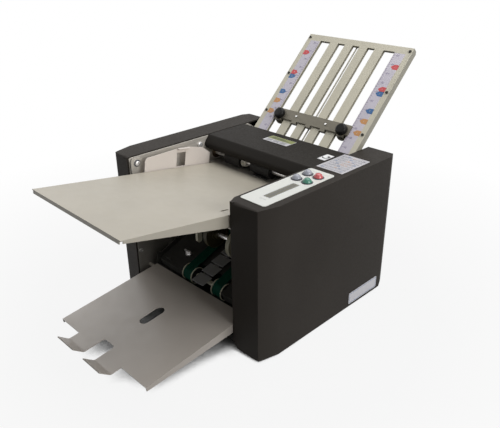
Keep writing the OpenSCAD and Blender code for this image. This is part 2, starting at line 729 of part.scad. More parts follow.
// Channel under the table with an ear on each side that hangs on its pivot screw
module table_bracket() placed() color([0.72, 0.7, 0.64]) difference() {
  union() {
    block([ear_left[0], ear_right[1]], [pivot_y - 8, pivot_y + 10], [bracket_z, bracket_z + 2]);
    for (x = [ear_left, ear_right]) across(x[0], x[1]) {
      translate([pivot_y, 0]) polygon([[-8, bracket_z], [10, bracket_z], [11.5, pivot_z - 10],
        [11.5, pivot_z + 4], [7, pivot_z + 9], [-7, pivot_z + 9], [-11.5, pivot_z + 4],
        [-11.5, pivot_z - 10]]);
    }
    for (x = [-table_w / 2 + 8, table_w / 2 - 10]) across(x, x + 2) polygon([
      [pivot_y - 8, bracket_z + 2], [pivot_y + 10, bracket_z + 2],
      [pivot_y + 10, table_under(pivot_y + 10)], [pivot_y - 8, table_under(pivot_y - 8)]]);
  }
  rod(left_out, ear_left[1] + over, pivot_r + running, [pivot_y, pivot_z]);
  rod(ear_right[0] - over, right_out, pivot_r + running, [pivot_y, pivot_z]);
}

guide_u = table_reach + 22;
guide_len = 146;
guide_h = 35;

// Upright side guide, seen along +X, h high over the table
module guide_sheet(h) {
  polygon([[0, -12], [guide_len, -12], [guide_len, h - 15], [guide_len - 19, h - 4], [96, h],
    [67, h - 1.5], [9, h - 10.4], [0, h - 19.4]]);
  translate([9, h - 19.4]) circle(9);
}

module paper_guides() placed() color([0.82, 0.79, 0.74]) on_table() {
  left_x = -table_w / 2 - 3.2;
  right_x = table_w / 2 + 2;
  across(left_x, left_x + guide_t) translate([guide_u, 0]) difference() {
    guide_sheet(guide_h);
    translate([68, 1]) square([20, guide_h - 9.5]);
  }
  block([left_x + guide_t, left_x + 7], [guide_u + 68, guide_u + 94],
    [guide_h - 1.4, guide_h - 1.4 + guide_t]);
  across(right_x, right_x + guide_t) translate([guide_u, 0]) guide_sheet(guide_h - 8);
  for (x = [[left_x + guide_t, -table_w / 2], [table_w / 2, right_x]])
    block(x, [guide_u, guide_u + guide_len], [-12, -12 + guide_t]);
}
guide_t = 1.2;

// ---------- feed rollers and separator ----------
feed_roller_x = [[-99, -59], [-31, 16], [62, 102]];
collar_x = [[-58.5, -47], [50.5, 61.5]];

module feed_shaft() placed() color("Silver") rod(shaft_left, shaft_right, shaft_r, feed_c);

module feed_rollers() placed() color([0.16, 0.16, 0.17]) for (x = feed_roller_x) difference() {
  rod(x[0], x[1], feed_roller_r, feed_c);
  rod(x[0] - over, x[1] + over, shaft_r + running, feed_c);
}

module feed_collars() placed() color("Ivory") for (x = collar_x) difference() {
  union() {
    rod(x[0], x[1], 7, feed_c);
    rod(x[0] + 1, x[0] + 5, 9, feed_c);
  }
  rod(x[0] - over, x[1] + over, shaft_r + running, feed_c);
}

module feed_gear() placed() color("Ivory")
  gear(gear_x, gear_w, feed_c, roller_teeth, feed_turn, shaft_r + running);

module feed_idler_gear() placed() color("Ivory")
  gear(gear_x, gear_w, feed_idler_c, feed_idler_teeth, feed_idler_turn, rod_r + running);

module separator() placed() color([0.3, 0.3, 0.3]) {
  block([separator_x - separator_half, separator_x + separator_half], [feed_y - 10, feed_y + 11],
    [beam_z + sheet_t + 12, separator_top - 3]);
  block([separator_x - separator_half + 2, separator_x + separator_half - 2], [feed_y - 8, feed_y + 9],
    [separator_top - 3, separator_top]);
}

spring_wire = 1;
spring_r = 5;
spring_turns = 5;
spring_low = beam_z + sheet_t + spring_wire / 2;
spring_high = beam_z + sheet_t + 12 - spring_wire / 2;
spring_steps = 14;

// Coil: rings of points along a helix, joined into one skin
module separator_spring() placed() color("Silver") translate([separator_x, feed_y, 0]) {
  rings = spring_turns * spring_steps;
  sides = 6;
  points = [for (i = [0 : rings], k = [0 : sides - 1])
    let (a = 360 * i / spring_steps, b = 360 * k / sides, r = spring_r + spring_wire / 2 * cos(b))
    [r * cos(a), r * sin(a),
      spring_low + (spring_high - spring_low) * i / rings + spring_wire / 2 * sin(b)]];
  skin = [for (i = [0 : rings - 1], k = [0 : sides - 1])
    let (a = i * sides + k, b = i * sides + (k + 1) % sides) [a, a + sides, b + sides, b]];
  polyhedron(points, concat([[for (k = [0 : sides - 1]) k]], skin,
    [[for (k = [0 : sides - 1]) rings * sides + sides - 1 - k]]), 4);
}

// ---------- top cover ----------
// Points of an arc of radius r that rounds the corner p between the points a and b
function rounded(a, p, b, r) =
  let (u = (a - p) / norm(a - p), v = (b - p) / norm(b - p), half = acos(u * v) / 2,
       c = p + r / sin(half) * (u + v) / norm(u + v),
       s = p + u * r / tan(half) - c,
       turn = (u[0] * v[1] - u[1] * v[0] > 0 ? -1 : 1) * (180 - 2 * half))
  [for (i = [0 : 5]) let (t = turn * i / 5)
    c + [s[0] * cos(t) - s[1] * sin(t), s[0] * sin(t) + s[1] * cos(t)]];

lid_corners = [[cover_tail, top_z], [bend_y - 1, top_z], [bend_y - 17, top_z - 19],
  [bend_y + 2.5, top_z - 31]];
lid_inside = [[bend_y + 4, top_z - 29], [bend_y - 13.3, top_z - 18.4], [bend_y + 0.2, top_z - wall],
  [cover_tail - wall, top_z - wall]];
function lid_outer() = concat(rounded(lid_corners[0], lid_corners[1], lid_corners[2], 4),
  rounded(lid_corners[1], lid_corners[2], lid_corners[3], 9), [lid_corners[3]]);
function lid_inner() = concat([lid_inside[0]], rounded(lid_inside[0], lid_inside[1], lid_inside[2], 6.5),
  rounded(lid_inside[1], lid_inside[2], lid_inside[3], 4.5));

module top_cover() placed() color([0.27, 0.26, 0.24]) {
  across(lid_left, lid_right) polygon(concat([[cover_tail, top_z - 6], [cover_tail, top_z]],
    lid_outer(), lid_inner(), [[cover_tail - wall, top_z - wall], [cover_tail - wall, top_z - 6]]));
  for (x = [lid_left, lid_right - wall]) across(x, x + wall) polygon([[cover_tail, top_z - 15],
    [cover_tail, top_z - 1], [bend_y + 1, top_z - 1], [bend_y - 8, top_z - 11], [bend_y - 7, top_z - 21],
    [bend_y + 3, top_z - 28], [bend_y + 45, top_z - 15]]);
  rod(left_out, lid_left + wall, hinge_r, [hinge_y, hinge_z]);
  rod(lid_right - wall, right_out, hinge_r, [hinge_y, hinge_z]);
}

module cover_labels() placed() color("White") translate([0, 0, top_z]) {
  linear_extrude(0.3) rounded_rect([-42, 17], [bend_y + 48.5, bend_y + 76.5], 1);
  linear_extrude(0.3) rounded_rect([95, 111], [bend_y + 39, bend_y + 67], 1);
}

// ---------- fold rollers ----------
module fold_roller(c, with_gear, turn) {
  rod(drum_left, drum_right, fold_roller_r, c);
  rod(shaft_left, shaft_right, journal_r, c);
  if (with_gear) gear(gear_x, gear_w, c, roller_teeth, turn, journal_r + running);
}

module upper_fold_roller() placed() color([0.35, 0.33, 0.3]) fold_roller(upper_c, true, upper_turn);
module rear_fold_roller() placed() color([0.35, 0.33, 0.3]) fold_roller(rear_c, true, rear_turn);
module lower_fold_roller() placed() color([0.35, 0.33, 0.3]) fold_roller(lower_c, true, lower_turn);

module main_fold_roller() placed() color([0.35, 0.33, 0.3]) {
  fold_roller(main_c, false, 0);
  rod(pulley_x - 1, shaft_left, journal_r, main_c);
}

module main_drive_gear() placed() color("Ivory") {
  gear(gear_x, gear_w, main_c, roller_teeth, 0, journal_r + running);
  pulley(main_c, main_pulley_r, journal_r + running);
}

module pulley(c, r, bore) difference() {
  union() {
    rod(pulley_x, pulley_x + pulley_w, r - belt_gap, c);
    rod(pulley_x + pulley_w, pulley_x + pulley_w + 1.2, r + 2, c);
  }
  rod(pulley_x - over, pulley_x + pulley_w + 2, bore, c);
}

// ---------- motor ----------
module motor() placed() color([0.2, 0.2, 0.22]) difference() {
  union() {
    rod(left_in, left_in + 3, motor_r + 4, motor_c);
    rod(left_in + 3, left_in + motor_len, motor_r, motor_c);
    rod(left_in + motor_len, left_in + motor_len + 6, 10, motor_c);
  }
  rod(left_in - over, left_in + 30, motor_shaft_r + running, motor_c);
}

module motor_pulley() placed() color("Silver") {
  rod(pulley_x - 1, left_in + 29, motor_shaft_r, motor_c);
  pulley(motor_c, motor_pulley_r, motor_shaft_r + running);
}

module drive_belt() placed() color([0.08, 0.08, 0.08])
  belt_loop(pulley_x + 0.8, pulley_x + pulley_w - 0.2, motor_c, motor_pulley_r,
    main_c, main_pulley_r, drive_belt_t);

// ---------- upper fold plate ----------
module on_upper() translate([0, upper_top_y, upper_top_z]) rotate([upper_angle, 0, 0]) children();

module upper_slots(z0, z1, split) for (i = [0 : 4]) difference() {
  block(span(slot_x[i], slot_w[i]), [-slot_end, -slot_top], [z0, z1]);
  if (split && slot_x[i] == 0) block([-1.5, 1.5], [-slot_end - over, over], [z0 - over, z1 + over]);
}

module screw_row(r, z0, z1) for (s = [-1, 1], d = plate_screw_d)
  translate([s * plate_screw_x, -d, z0]) cylinder(r = r, h = z1 - z0);

module pin_row(r) for (s = [-1, 1], d = pin_d) translate([s * upper_half_w - 4, -d, pin_z])
  rotate([0, 90, 0]) cylinder(r = r, h = 8);

module upper_plate_front() placed() color([0.73, 0.71, 0.61]) on_upper() difference() {
  union() {
    block([-upper_half_w, upper_half_w], [-upper_len, 0], [-fold_sheet, 0]);
    for (x = [-upper_half_w, upper_half_w - fold_sheet]) across(x, x + fold_sheet) polygon([
      [-upper_len, -fold_sheet], [0, -fold_sheet], [0, flange_chamfer - upper_flange],
      [-flange_chamfer, -upper_flange],
      [-upper_len + 10, -upper_flange], [-upper_len, -5]]);
    block([-upper_half_w, upper_half_w], [-fold_sheet, 0], [-7, -fold_sheet]);
  }
  upper_slots(-fold_sheet - over, over, false);
  screw_row(2 + running, -fold_sheet - over, over);
  pin_row(pin_r + running);
}

module upper_plate_back() placed() color([0.66, 0.64, 0.55]) on_upper() difference() {
  block([-upper_half_w + 1.6, upper_half_w - 1.6], [-upper_len, -1.6], [back_z, back_z + fold_sheet]);
  upper_slots(back_z - over, back_z + fold_sheet + over, true);
  screw_row(2 + running, back_z - over, back_z + fold_sheet + over);
}

// Screws with their spacers between the sheets, and the pins that carry the plate
module plate_screws() placed() color([0.12, 0.12, 0.12]) {
  on_upper() {
    screw_row(2.6, 0, 1.6);
    screw_row(2, back_z - 2, 0);
    screw_row(3.5, back_z + fold_sheet, -fold_sheet);
    screw_row(3.5, back_z - 2, back_z);
  }
  for (p = plate_pins_at) {
    rod(left_out, -upper_half_w + fold_sheet + 2, pin_r, p);
    rod(upper_half_w - fold_sheet - 2, right_out, pin_r, p);
  }
}

module scale_strips() placed() color("Lavender") on_upper() for (s = [-1, 1])
  block(s > 0 ? [87.6, 110.4] : [-110.4, -87.6], [-slot_end, -15], [0, 0.25]);

module upper_stop_bar() placed() color([0.42, 0.4, 0.34]) on_upper() {
  y0 = -stop_from_top - stop_w / 2;
  difference() {
    union() {
      block([-stop_half_w, stop_half_w], [y0, y0 + stop_w], [gap, gap + stop_t]);
      for (i = [0 : 4]) block(span(slot_x[i], finger_w[i]), [y0 - 5, y0 + 1],
        [back_z + fold_sheet + 0.4, gap + stop_t]);
    }
    for (x = [-knob_x, knob_x]) translate([x, -stop_from_top - knob_drop, -over])
      cylinder(r = stud_r + running, h = 20);
  }
  // Clamp washers behind the plate
  for (x = [-knob_x, knob_x]) translate([x, -stop_from_top - knob_drop, back_z - gap - 2.5]) difference() {
    cylinder(r = 15, h = 2.5);
    translate([0, 0, -over]) cylinder(r = stud_r + running, h = 20);
  }
  for (x = [-35.5, 35.5]) translate([x, -stop_from_top, gap + stop_t]) cylinder(r = 2.2, h = 1);
}

// Drum-shaped knob with a rounded front
module knob(h, r) rotate_extrude() polygon(concat(
  [[0, 0], [r - 0.5, 0], [r, 0.5]],
  [for (a = [0 : 15 : 75]) [r * 0.55 + r * 0.45 * cos(a), h * 0.5 + h * 0.5 * sin(a)]],
  [[0, h]]));

module stop_knob(x) placed() color([0.07, 0.07, 0.07]) on_upper()
  translate([x, -stop_from_top - knob_drop, 0]) {
  translate([0, 0, knob_base]) knob(knob_h, knob_r);
  translate([0, 0, back_z - gap - 5]) cylinder(r = stud_r, h = knob_base - back_z + gap + 5);
  translate([0, 0, back_z - gap - 5]) cylinder(r = 4.5, h = 5 - 2.5 - gap);
}

module left_stop_knob() stop_knob(-knob_x);
module right_stop_knob() stop_knob(knob_x);

// ---------- lower fold plate ----------
module on_lower() translate([0, low_nip_y, low_nip_z]) rotate([-lower_angle, 0, 0]) children();

module lower_fold_plate() placed() color([0.66, 0.64, 0.55]) on_lower() difference() {
  half = fold_gap / 2;
  union() {
    block([-lower_half_w, lower_half_w], [mouth, lower_len], [half, half + fold_sheet]);
    block([-lower_half_w, lower_half_w], [mouth, lower_len], [-half - fold_sheet, -half]);
    for (s = [-1, 1]) block(s > 0 ? [lower_half_w - 4, lower_half_w] : [-lower_half_w, -lower_half_w + 4],
      [mouth + 6, lower_len], [-half, half]);
    for (y = [40, lower_len - 32]) block([left_in, right_in], [y, y + 16], [half, half + fold_sheet]);
  }
  for (x = lower_slot_x) block(span(x, lower_slot_w), [30, lower_len - 12],
    [-half - fold_sheet - over, half + fold_sheet + over]);
}

module lower_stop_bar() placed() color([0.3, 0.29, 0.25]) on_lower() {
  z0 = fold_gap / 2 + fold_sheet + gap;
  block([-lower_stop_half_w, lower_stop_half_w], [lower_stop_y - 8, lower_stop_y + 8], [z0, z0 + stop_t]);
  for (x = lower_slot_x) block(span(x, 9), [lower_stop_y - 10, lower_stop_y - 5],
    [-fold_gap / 2 + 0.3, z0 + stop_t]);
  for (x = [-52, 52]) translate([x, lower_stop_y, z0 + stop_t]) knob(16, 9);
}

// ---------- delivery ----------
module conveyor_outline() {
  front_y = 30;
  back_y = exit_rear_c[0] + 14;
  polygon([[front_y, exit_front_c[1] - 3], [front_y, exit_front_c[1] + 19],
    [front_y + 11, exit_front_c[1] + 17], [75, belt_line(75) + 22], [back_y, belt_line(back_y) + 21],
    [back_y, belt_line(back_y) - 19], [62, belt_line(62) - 19], [44, exit_front_c[1] - 15]]);
}

module on_belts() translate([0, exit_front_c[0], exit_front_c[1]]) rotate([belt_angle, 0, 0]) children();

// Bent sheet beside a belt: it drops down in front of the front roller
module housing(x0, x1) on_belts() {
  block([x0, x1], [housing_front, belt_run + 4], [housing_top - sheet_t, housing_top]);
  block([x0, x1], [housing_front, housing_front + sheet_t], [-7, housing_top]);
}
housing_front = -12;

// Top line of the spine: it carries each slat along its underside
function spine_top() = [for (k = [0 : slat_n - 1], e = [0, 1])
  [slat_front_y + k * slat_pitch + e * slat_len, slat_z(k) + e * slat_rise - slat_t]];

module conveyor_frame() placed() color([0.2, 0.2, 0.19]) difference() {
  union() {
    for (x = [conveyor_left, conveyor_right - plate_t]) across(x, x + plate_t) conveyor_outline();
    on_belts() block([conveyor_left, conveyor_right], [bed_start, belt_run - 20],
      [bed_low, bed_low + sheet_t]);
    housing(conveyor_left, -belt_x - pulley_half - housing_play);
    housing(belt_x + pulley_half + housing_play, conveyor_right);
    // Tab at the front of the left housing
    on_belts() block([conveyor_left + 15, conveyor_left + 29], [-6, -6 + sheet_t],
      [housing_top - sheet_t, housing_top + 6]);
    across(-6, 6) polygon(concat(spine_top(), [
      [spine_end, belt_line(spine_end) + bed_low + 1], [70, belt_line(70) + bed_low + 1],
      [56, exit_front_c[1] + shaft_r + 2.6], [44, exit_front_c[1] + shaft_r + 1],
      [slat_front_y, exit_front_c[1] + shaft_r]]));
  }
  for (c = [exit_front_c, exit_rear_c])
    rod(conveyor_left - over, conveyor_right + over, shaft_r + running, c);
  for (i = [0, 1]) rod(conveyor_left - over, conveyor_right + over, rod_r + running, rods[i]);
}
bed_start = 20;
housing_play = 0.8;
spine_end = slat_front_y + (slat_n - 1) * slat_pitch + slat_len;

module exit_bed() placed() color([0.62, 0.6, 0.6]) for (k = [0 : slat_n - 1])
  across(-slat_half_w, slat_half_w) translate([slat_front_y + k * slat_pitch, slat_z(k)])
    polygon([[0, 0], [slat_len, slat_rise], [slat_len, slat_rise - slat_t], [0, -slat_t]]);

module exit_roller(c, x0, x1) {
  rod(x0, x1, shaft_r, c);
  for (s = [-1, 1]) difference() {
    union() {
      rod(s * belt_x - pulley_half, s * belt_x + pulley_half, pulley_r, c);
      for (e = [-1, 1]) {
        x = s * belt_x + e * (pulley_half - rim_t / 2);
        rod(x - rim_t / 2, x + rim_t / 2, rim_r, c);
      }
    }
    rod(s * belt_x - belt_w, s * belt_x + belt_w, pulley_bore_r + running, c);
  }
}

module front_exit_roller() placed() color("Ivory")
  exit_roller(exit_front_c, conveyor_left - 4, conveyor_right + 4);

module rear_exit_roller() placed() color("Ivory") {
  exit_roller(exit_rear_c, shaft_left, shaft_right);
  gear(gear_x, gear_w, exit_rear_c, roller_teeth, exit_turn, shaft_r + running);
}

module exit_belts() placed() color([0.04, 0.24, 0.18]) for (s = [-1, 1])
  belt_loop(s * belt_x - belt_w / 2, s * belt_x + belt_w / 2, exit_front_c, pulley_r + belt_gap,
    exit_rear_c, pulley_r + belt_gap, belt_t);

module exit_idler_gear() placed() color("Ivory")
  gear(gear_x, gear_w, exit_idler_c, exit_idler_teeth, exit_idler_turn, rod_r + running);

// Disc wheel with a hub, thinner between its rim and its hub
module stacker_wheel(x) difference() {
  union() {
    rod(x, x + wheel_w, wheel_r, stack_rod_c);
    rod(x - 5, x + wheel_w + 5, 8, stack_rod_c);
  }
  rod(x - 6, x + wheel_w + 6, rod_r + running, stack_rod_c);
  for (e = [x - over, x + wheel_w - 2]) difference() {
    rod(e, e + 2 + over, wheel_r - 4, stack_rod_c);
    rod(e - over, e + 4, 11, stack_rod_c);
  }
}
wheel_r = 25;
wheel_w = 8;
left_wheel_x = 13;
right_wheel_x = 66;

module left_stacker_wheel() placed() color([0.35, 0.29, 0.18]) stacker_wheel(left_wheel_x);
module right_stacker_wheel() placed() color("Ivory") stacker_wheel(right_wheel_x);

module guide_finger() placed() color([0.75, 0.73, 0.68]) difference() {
  union() {
    rod(finger_x[0] - 4, finger_x[1] + 4, 7, stack_rod_c);
    across(finger_x[0], finger_x[1]) translate(stack_rod_c) {
      translate([-5, -finger_drop]) square([10, finger_drop]);
      translate([0, -finger_drop]) circle(5);
    }
  }
  rod(finger_x[0] - 5, finger_x[1] + 5, rod_r + running, stack_rod_c);
}

finger_x = [-32, -27];
finger_drop = 29;

// ---------- exit tray ----------
module on_tray() translate([0, tray_front_y, tray_front_z]) rotate([exit_tray_angle, 0, 0]) children();

function arc(c, r, a0, a1) = [for (i = [0 : 10]) let (a = a0 + (a1 - a0) * i / 10)
  c + r * [cos(a), sin(a)]];

// Tongue of the tray with its end bent up
module tongue(x) {
  bend = [-tongue_out, flap_r];
  tip = [-tongue_out - flap_r * sin(flap_turn), flap_r * (1 - cos(flap_turn))]
    + flap_tip * [-cos(flap_turn), sin(flap_turn)];
  across(x[0], x[1]) polygon(concat([[0, 0]], arc(bend, flap_r, -90, -90 - flap_turn),
    [tip, tip - sheet_t * [sin(flap_turn), cos(flap_turn)]],
    arc(bend, flap_r + sheet_t, -90 - flap_turn, -90), [[0, -sheet_t]]));
}

module tray_cut() translate([0, 0, -sheet_t - over]) linear_extrude(sheet_t + 2 * over) children();
// Hand slot of the tray
slot_mid = -4;
slot_r = 9;
slot_y = [86.5, 115.5];

module exit_tray() placed() color([0.6, 0.58, 0.56]) difference() {
  half = exit_tray_w / 2;
  union() {
    on_tray() {
      difference() {
        block([-half, half], [0, exit_tray_len], [-sheet_t, 0]);
        tray_cut() rounded_rect([tongue_x[0][1], tongue_x[1][0]], [-10, notch_deep], 5);
        tray_cut() {
          translate([slot_mid - slot_r, slot_y[0]]) square([2 * slot_r, slot_y[1] - slot_y[0]]);
          for (y = slot_y) translate([slot_mid, y]) circle(slot_r);
        }
      }
      for (x = tongue_x) tongue(x);
      for (x = [-half, half - sheet_t]) across(x, x + sheet_t) polygon([[0, -sheet_t],
        [exit_tray_len, -sheet_t], [exit_tray_len, -16], [exit_tray_len - 20, -16], [0, -7]]);
    }
    // Pivots in the side plates
    rod(left_out, -half + sheet_t + 2, tray_pivot_r, [tray_pivot_y, tray_pivot_z]);
    rod(half - sheet_t - 2, right_out, tray_pivot_r, [tray_pivot_y, tray_pivot_z]);
  }
}

base_plate();
left_side_plate();
right_side_plate();
tie_rods();
cross_beam();
rear_panel();
left_cover();
right_cover();
screws();
rubber_feet();
control_panel();
display_window();
cover_plates();
start_button();
stop_button();
mode_button();
count_button();
circuit_boards();
power_inlet();
power_switch();
shaft_bushes();
feed_table();
table_bracket();
paper_guides();
feed_shaft();
feed_rollers();
feed_collars();
feed_gear();
feed_idler_gear();
separator();
separator_spring();
top_cover();
cover_labels();
upper_fold_roller();
main_fold_roller();
main_drive_gear();
rear_fold_roller();
lower_fold_roller();
motor();
motor_pulley();
drive_belt();
upper_plate_front();
upper_plate_back();
plate_screws();
scale_strips();
upper_stop_bar();
left_stop_knob();
right_stop_knob();
lower_fold_plate();
lower_stop_bar();
conveyor_frame();
exit_bed();
front_exit_roller();
rear_exit_roller();
exit_belts();
exit_idler_gear();
left_stacker_wheel();
right_stacker_wheel();
guide_finger();
exit_tray();
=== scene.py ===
import json
import math

import bmesh
import bpy
from mathutils import Matrix, Vector


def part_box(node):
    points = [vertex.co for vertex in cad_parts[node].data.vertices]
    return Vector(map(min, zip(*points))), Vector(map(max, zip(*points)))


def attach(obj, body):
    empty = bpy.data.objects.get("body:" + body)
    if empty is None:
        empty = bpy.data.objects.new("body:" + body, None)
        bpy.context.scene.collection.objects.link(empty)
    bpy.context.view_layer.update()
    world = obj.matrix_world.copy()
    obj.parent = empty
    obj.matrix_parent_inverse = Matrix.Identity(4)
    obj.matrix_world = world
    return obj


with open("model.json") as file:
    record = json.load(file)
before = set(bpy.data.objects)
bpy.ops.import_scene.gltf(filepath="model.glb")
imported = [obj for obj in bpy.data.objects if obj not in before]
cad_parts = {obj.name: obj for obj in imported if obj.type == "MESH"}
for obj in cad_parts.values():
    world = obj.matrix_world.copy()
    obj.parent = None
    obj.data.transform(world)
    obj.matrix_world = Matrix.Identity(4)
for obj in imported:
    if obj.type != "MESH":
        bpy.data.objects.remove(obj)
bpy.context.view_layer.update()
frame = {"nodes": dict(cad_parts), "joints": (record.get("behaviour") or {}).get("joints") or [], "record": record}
nodes = frame["nodes"]
joints = {row["name"]: row for row in frame["joints"]}
scene = bpy.context.scene
MM = 0.001


# ---------- materials ----------
def new_material(name):
    mat = bpy.data.materials.new(name)
    mat.use_nodes = True
    tree = mat.node_tree
    shader = tree.nodes["Principled BSDF"]
    return mat, tree, shader


def object_place(tree):
    return tree.nodes.new("ShaderNodeTexCoord").outputs["Object"]


def noise(tree, scale, detail=3.0, rough=0.5, stretch=(1, 1, 1)):
    """Noise in the frame's metres. Stretch over 1 packs the grain along that axis."""
    mapping = tree.nodes.new("ShaderNodeMapping")
    mapping.inputs["Scale"].default_value = stretch
    tex = tree.nodes.new("ShaderNodeTexNoise")
    tex.inputs["Scale"].default_value = scale
    tex.inputs["Detail"].default_value = detail
    tex.inputs["Roughness"].default_value = rough
    tree.links.new(object_place(tree), mapping.inputs["Vector"])
    tree.links.new(mapping.outputs["Vector"], tex.inputs["Vector"])
    return tex.outputs["Fac"]


def cells(tree, scale):
    """Distance to the nearest of scattered points, for pebbled surfaces."""
    tex = tree.nodes.new("ShaderNodeTexVoronoi")
    tex.feature = "SMOOTH_F1"
    tex.inputs["Scale"].default_value = scale
    tree.links.new(object_place(tree), tex.inputs["Vector"])
    return tex.outputs["Distance"]


def spread(tree, fac, low, high, src=(0.3, 0.7)):
    """Low to high as fac goes through src."""
    node = tree.nodes.new("ShaderNodeMapRange")
    node.inputs["From Min"].default_value = src[0]
    node.inputs["From Max"].default_value = src[1]
    node.inputs["To Min"].default_value = low
    node.inputs["To Max"].default_value = high
    tree.links.new(fac, node.inputs["Value"])
    return node.outputs["Result"]


def tint(tree, fac, colour, amount):
    """The colour, a little darker and lighter with fac."""
    node = tree.nodes.new("ShaderNodeMix")
    node.data_type = "RGBA"
    dark = [c * (1 - amount) for c in colour]
    light = [min(1.0, c * (1 + amount)) for c in colour]
    node.inputs["A"].default_value = (*dark, 1)
    node.inputs["B"].default_value = (*light, 1)
    tree.links.new(spread(tree, fac, 0, 1), node.inputs["Factor"])
    return node.outputs["Result"]


def relief(tree, shader, heights):
    """Chains bumps; each is (height socket, strength, distance in metres)."""
    last = None
    for fac, strength, distance in heights:
        bump = tree.nodes.new("ShaderNodeBump")
        bump.inputs["Strength"].default_value = strength
        bump.inputs["Distance"].default_value = distance
        tree.links.new(fac, bump.inputs["Height"])
        if last is not None:
            tree.links.new(last, bump.inputs["Normal"])
        last = bump.outputs["Normal"]
    tree.links.new(last, shader.inputs["Normal"])


def shaded(tree, colour, fac, low, high, src):
    """The colour times a factor that runs from low to high with fac."""
    node = tree.nodes.new("ShaderNodeVectorMath")
    node.operation = "SCALE"
    tree.links.new(colour, node.inputs["Vector"])
    tree.links.new(spread(tree, fac, low, high, src), node.inputs["Scale"])
    return node.outputs["Vector"]


def side_facing(tree):
    """1 on faces that look along X, 0 on the others: where painted side shade goes."""
    geometry = tree.nodes.new("ShaderNodeNewGeometry")
    parts = tree.nodes.new("ShaderNodeSeparateXYZ")
    size = tree.nodes.new("ShaderNodeMath")
    size.operation = "ABSOLUTE"
    tree.links.new(geometry.outputs["True Normal"], parts.inputs[0])
    tree.links.new(parts.outputs["X"], size.inputs[0])
    return size.outputs["Value"]


def height(tree):
    parts = tree.nodes.new("ShaderNodeSeparateXYZ")
    tree.links.new(object_place(tree), parts.inputs[0])
    return parts.outputs["Z"]


def roughness(tree, shader, fac, low, high):
    tree.links.new(spread(tree, fac, low, high), shader.inputs["Roughness"])


def painted(name, colour, rough, depth=0.15, vary=0.06, side_shade=1.0, gloss=0.5):
    """Sprayed paint. Faces that look along X get painted shade: their colour times the side factor given."""
    mat, tree, shader = new_material(name)
    blotch = noise(tree, 14.0, 4.0)
    fine = noise(tree, 900.0, 2.0)
    look = tint(tree, blotch, colour, vary)
    if side_shade != 1.0:
        look = shaded(tree, look, side_facing(tree), 1.0, side_shade, (0.5, 0.9))
    tree.links.new(look, shader.inputs["Base Color"])
    roughness(tree, shader, noise(tree, 60.0, 3.0), rough - 0.06, rough + 0.06)
    shader.inputs["Specular IOR Level"].default_value = gloss
    relief(tree, shader, [(fine, depth, 0.0004)])
    return mat


def leather(name, colour, rough, gloss=0.45):
    """Structured paint: fine pebbles with a softer ripple under them."""
    mat, tree, shader = new_material(name)
    pebbles = cells(tree, 950.0)
    ripple = noise(tree, 300.0, 3.0)
    tree.links.new(tint(tree, noise(tree, 9.0, 4.0), colour, 0.08), shader.inputs["Base Color"])
    roughness(tree, shader, ripple, rough - 0.07, rough + 0.07)
    shader.inputs["Specular IOR Level"].default_value = gloss
    relief(tree, shader, [(pebbles, 0.22, 0.0003), (ripple, 0.12, 0.0004)])
    return mat


LOW_PART_HEIGHTS = (0.16, 0.225)


def brushed(name, colour, rough, stretch, metal=1.0, low_part=None):
    """Metal with fine lines. low_part is how bright its lower, shaded part is."""
    mat, tree, shader = new_material(name)
    lines = noise(tree, 60.0, 4.0, 0.6, stretch)
    look = tint(tree, lines, colour, 0.09)
    if low_part is not None:
        look = shaded(tree, look, height(tree), low_part, 1.0, LOW_PART_HEIGHTS)
    tree.links.new(look, shader.inputs["Base Color"])
    roughness(tree, shader, lines, rough - 0.07, rough + 0.1)
    shader.inputs["Metallic"].default_value = metal
    relief(tree, shader, [(lines, 0.08, 0.0002)])
    return mat


def moulded(name, colour, rough, coat=0.0, vary=0.05, through=0.0, gloss=0.5):
    mat, tree, shader = new_material(name)
    tree.links.new(tint(tree, noise(tree, 45.0, 4.0), colour, vary), shader.inputs["Base Color"])
    roughness(tree, shader, noise(tree, 220.0, 2.0), rough - 0.05, rough + 0.05)
    shader.inputs["Coat Weight"].default_value = coat
    shader.inputs["Specular IOR Level"].default_value = gloss
    shader.inputs["Subsurface Weight"].default_value = through
    shader.inputs["Subsurface Radius"].default_value = (0.002, 0.002, 0.0015)
    relief(tree, shader, [(noise(tree, 700.0, 2.0), 0.06, 0.0003)])
    return mat


def woven(name, colour, rough):
    """Belt surface: a fine rough-top pattern."""
    mat, tree, shader = new_material(name)
    tree.links.new(tint(tree, noise(tree, 120.0, 4.0), colour, 0.25), shader.inputs["Base Color"])
    roughness(tree, shader, noise(tree, 400.0, 2.0), rough - 0.08, rough + 0.08)
    shader.inputs["Specular IOR Level"].default_value = 0.06
    relief(tree, shader, [(cells(tree, 1300.0), 0.5, 0.0004)])
    return mat


def laminate(name, colour):
    """Circuit board with tracks showing through the lacquer."""
    mat, tree, shader = new_material(name)
    brick = tree.nodes.new("ShaderNodeTexBrick")
    brick.inputs["Scale"].default_value = 160.0
    brick.inputs["Mortar Size"].default_value = 0.06
    brick.inputs["Color1"].default_value = (*[c * 0.8 for c in colour], 1)
    brick.inputs["Color2"].default_value = (*colour, 1)
    brick.inputs["Mortar"].default_value = (*[c * 1.9 for c in colour], 1)
    tree.links.new(object_place(tree), brick.inputs["Vector"])
    tree.links.new(brick.outputs["Color"], shader.inputs["Base Color"])
    roughness(tree, shader, noise(tree, 90.0, 3.0), 0.25, 0.45)
    return mat


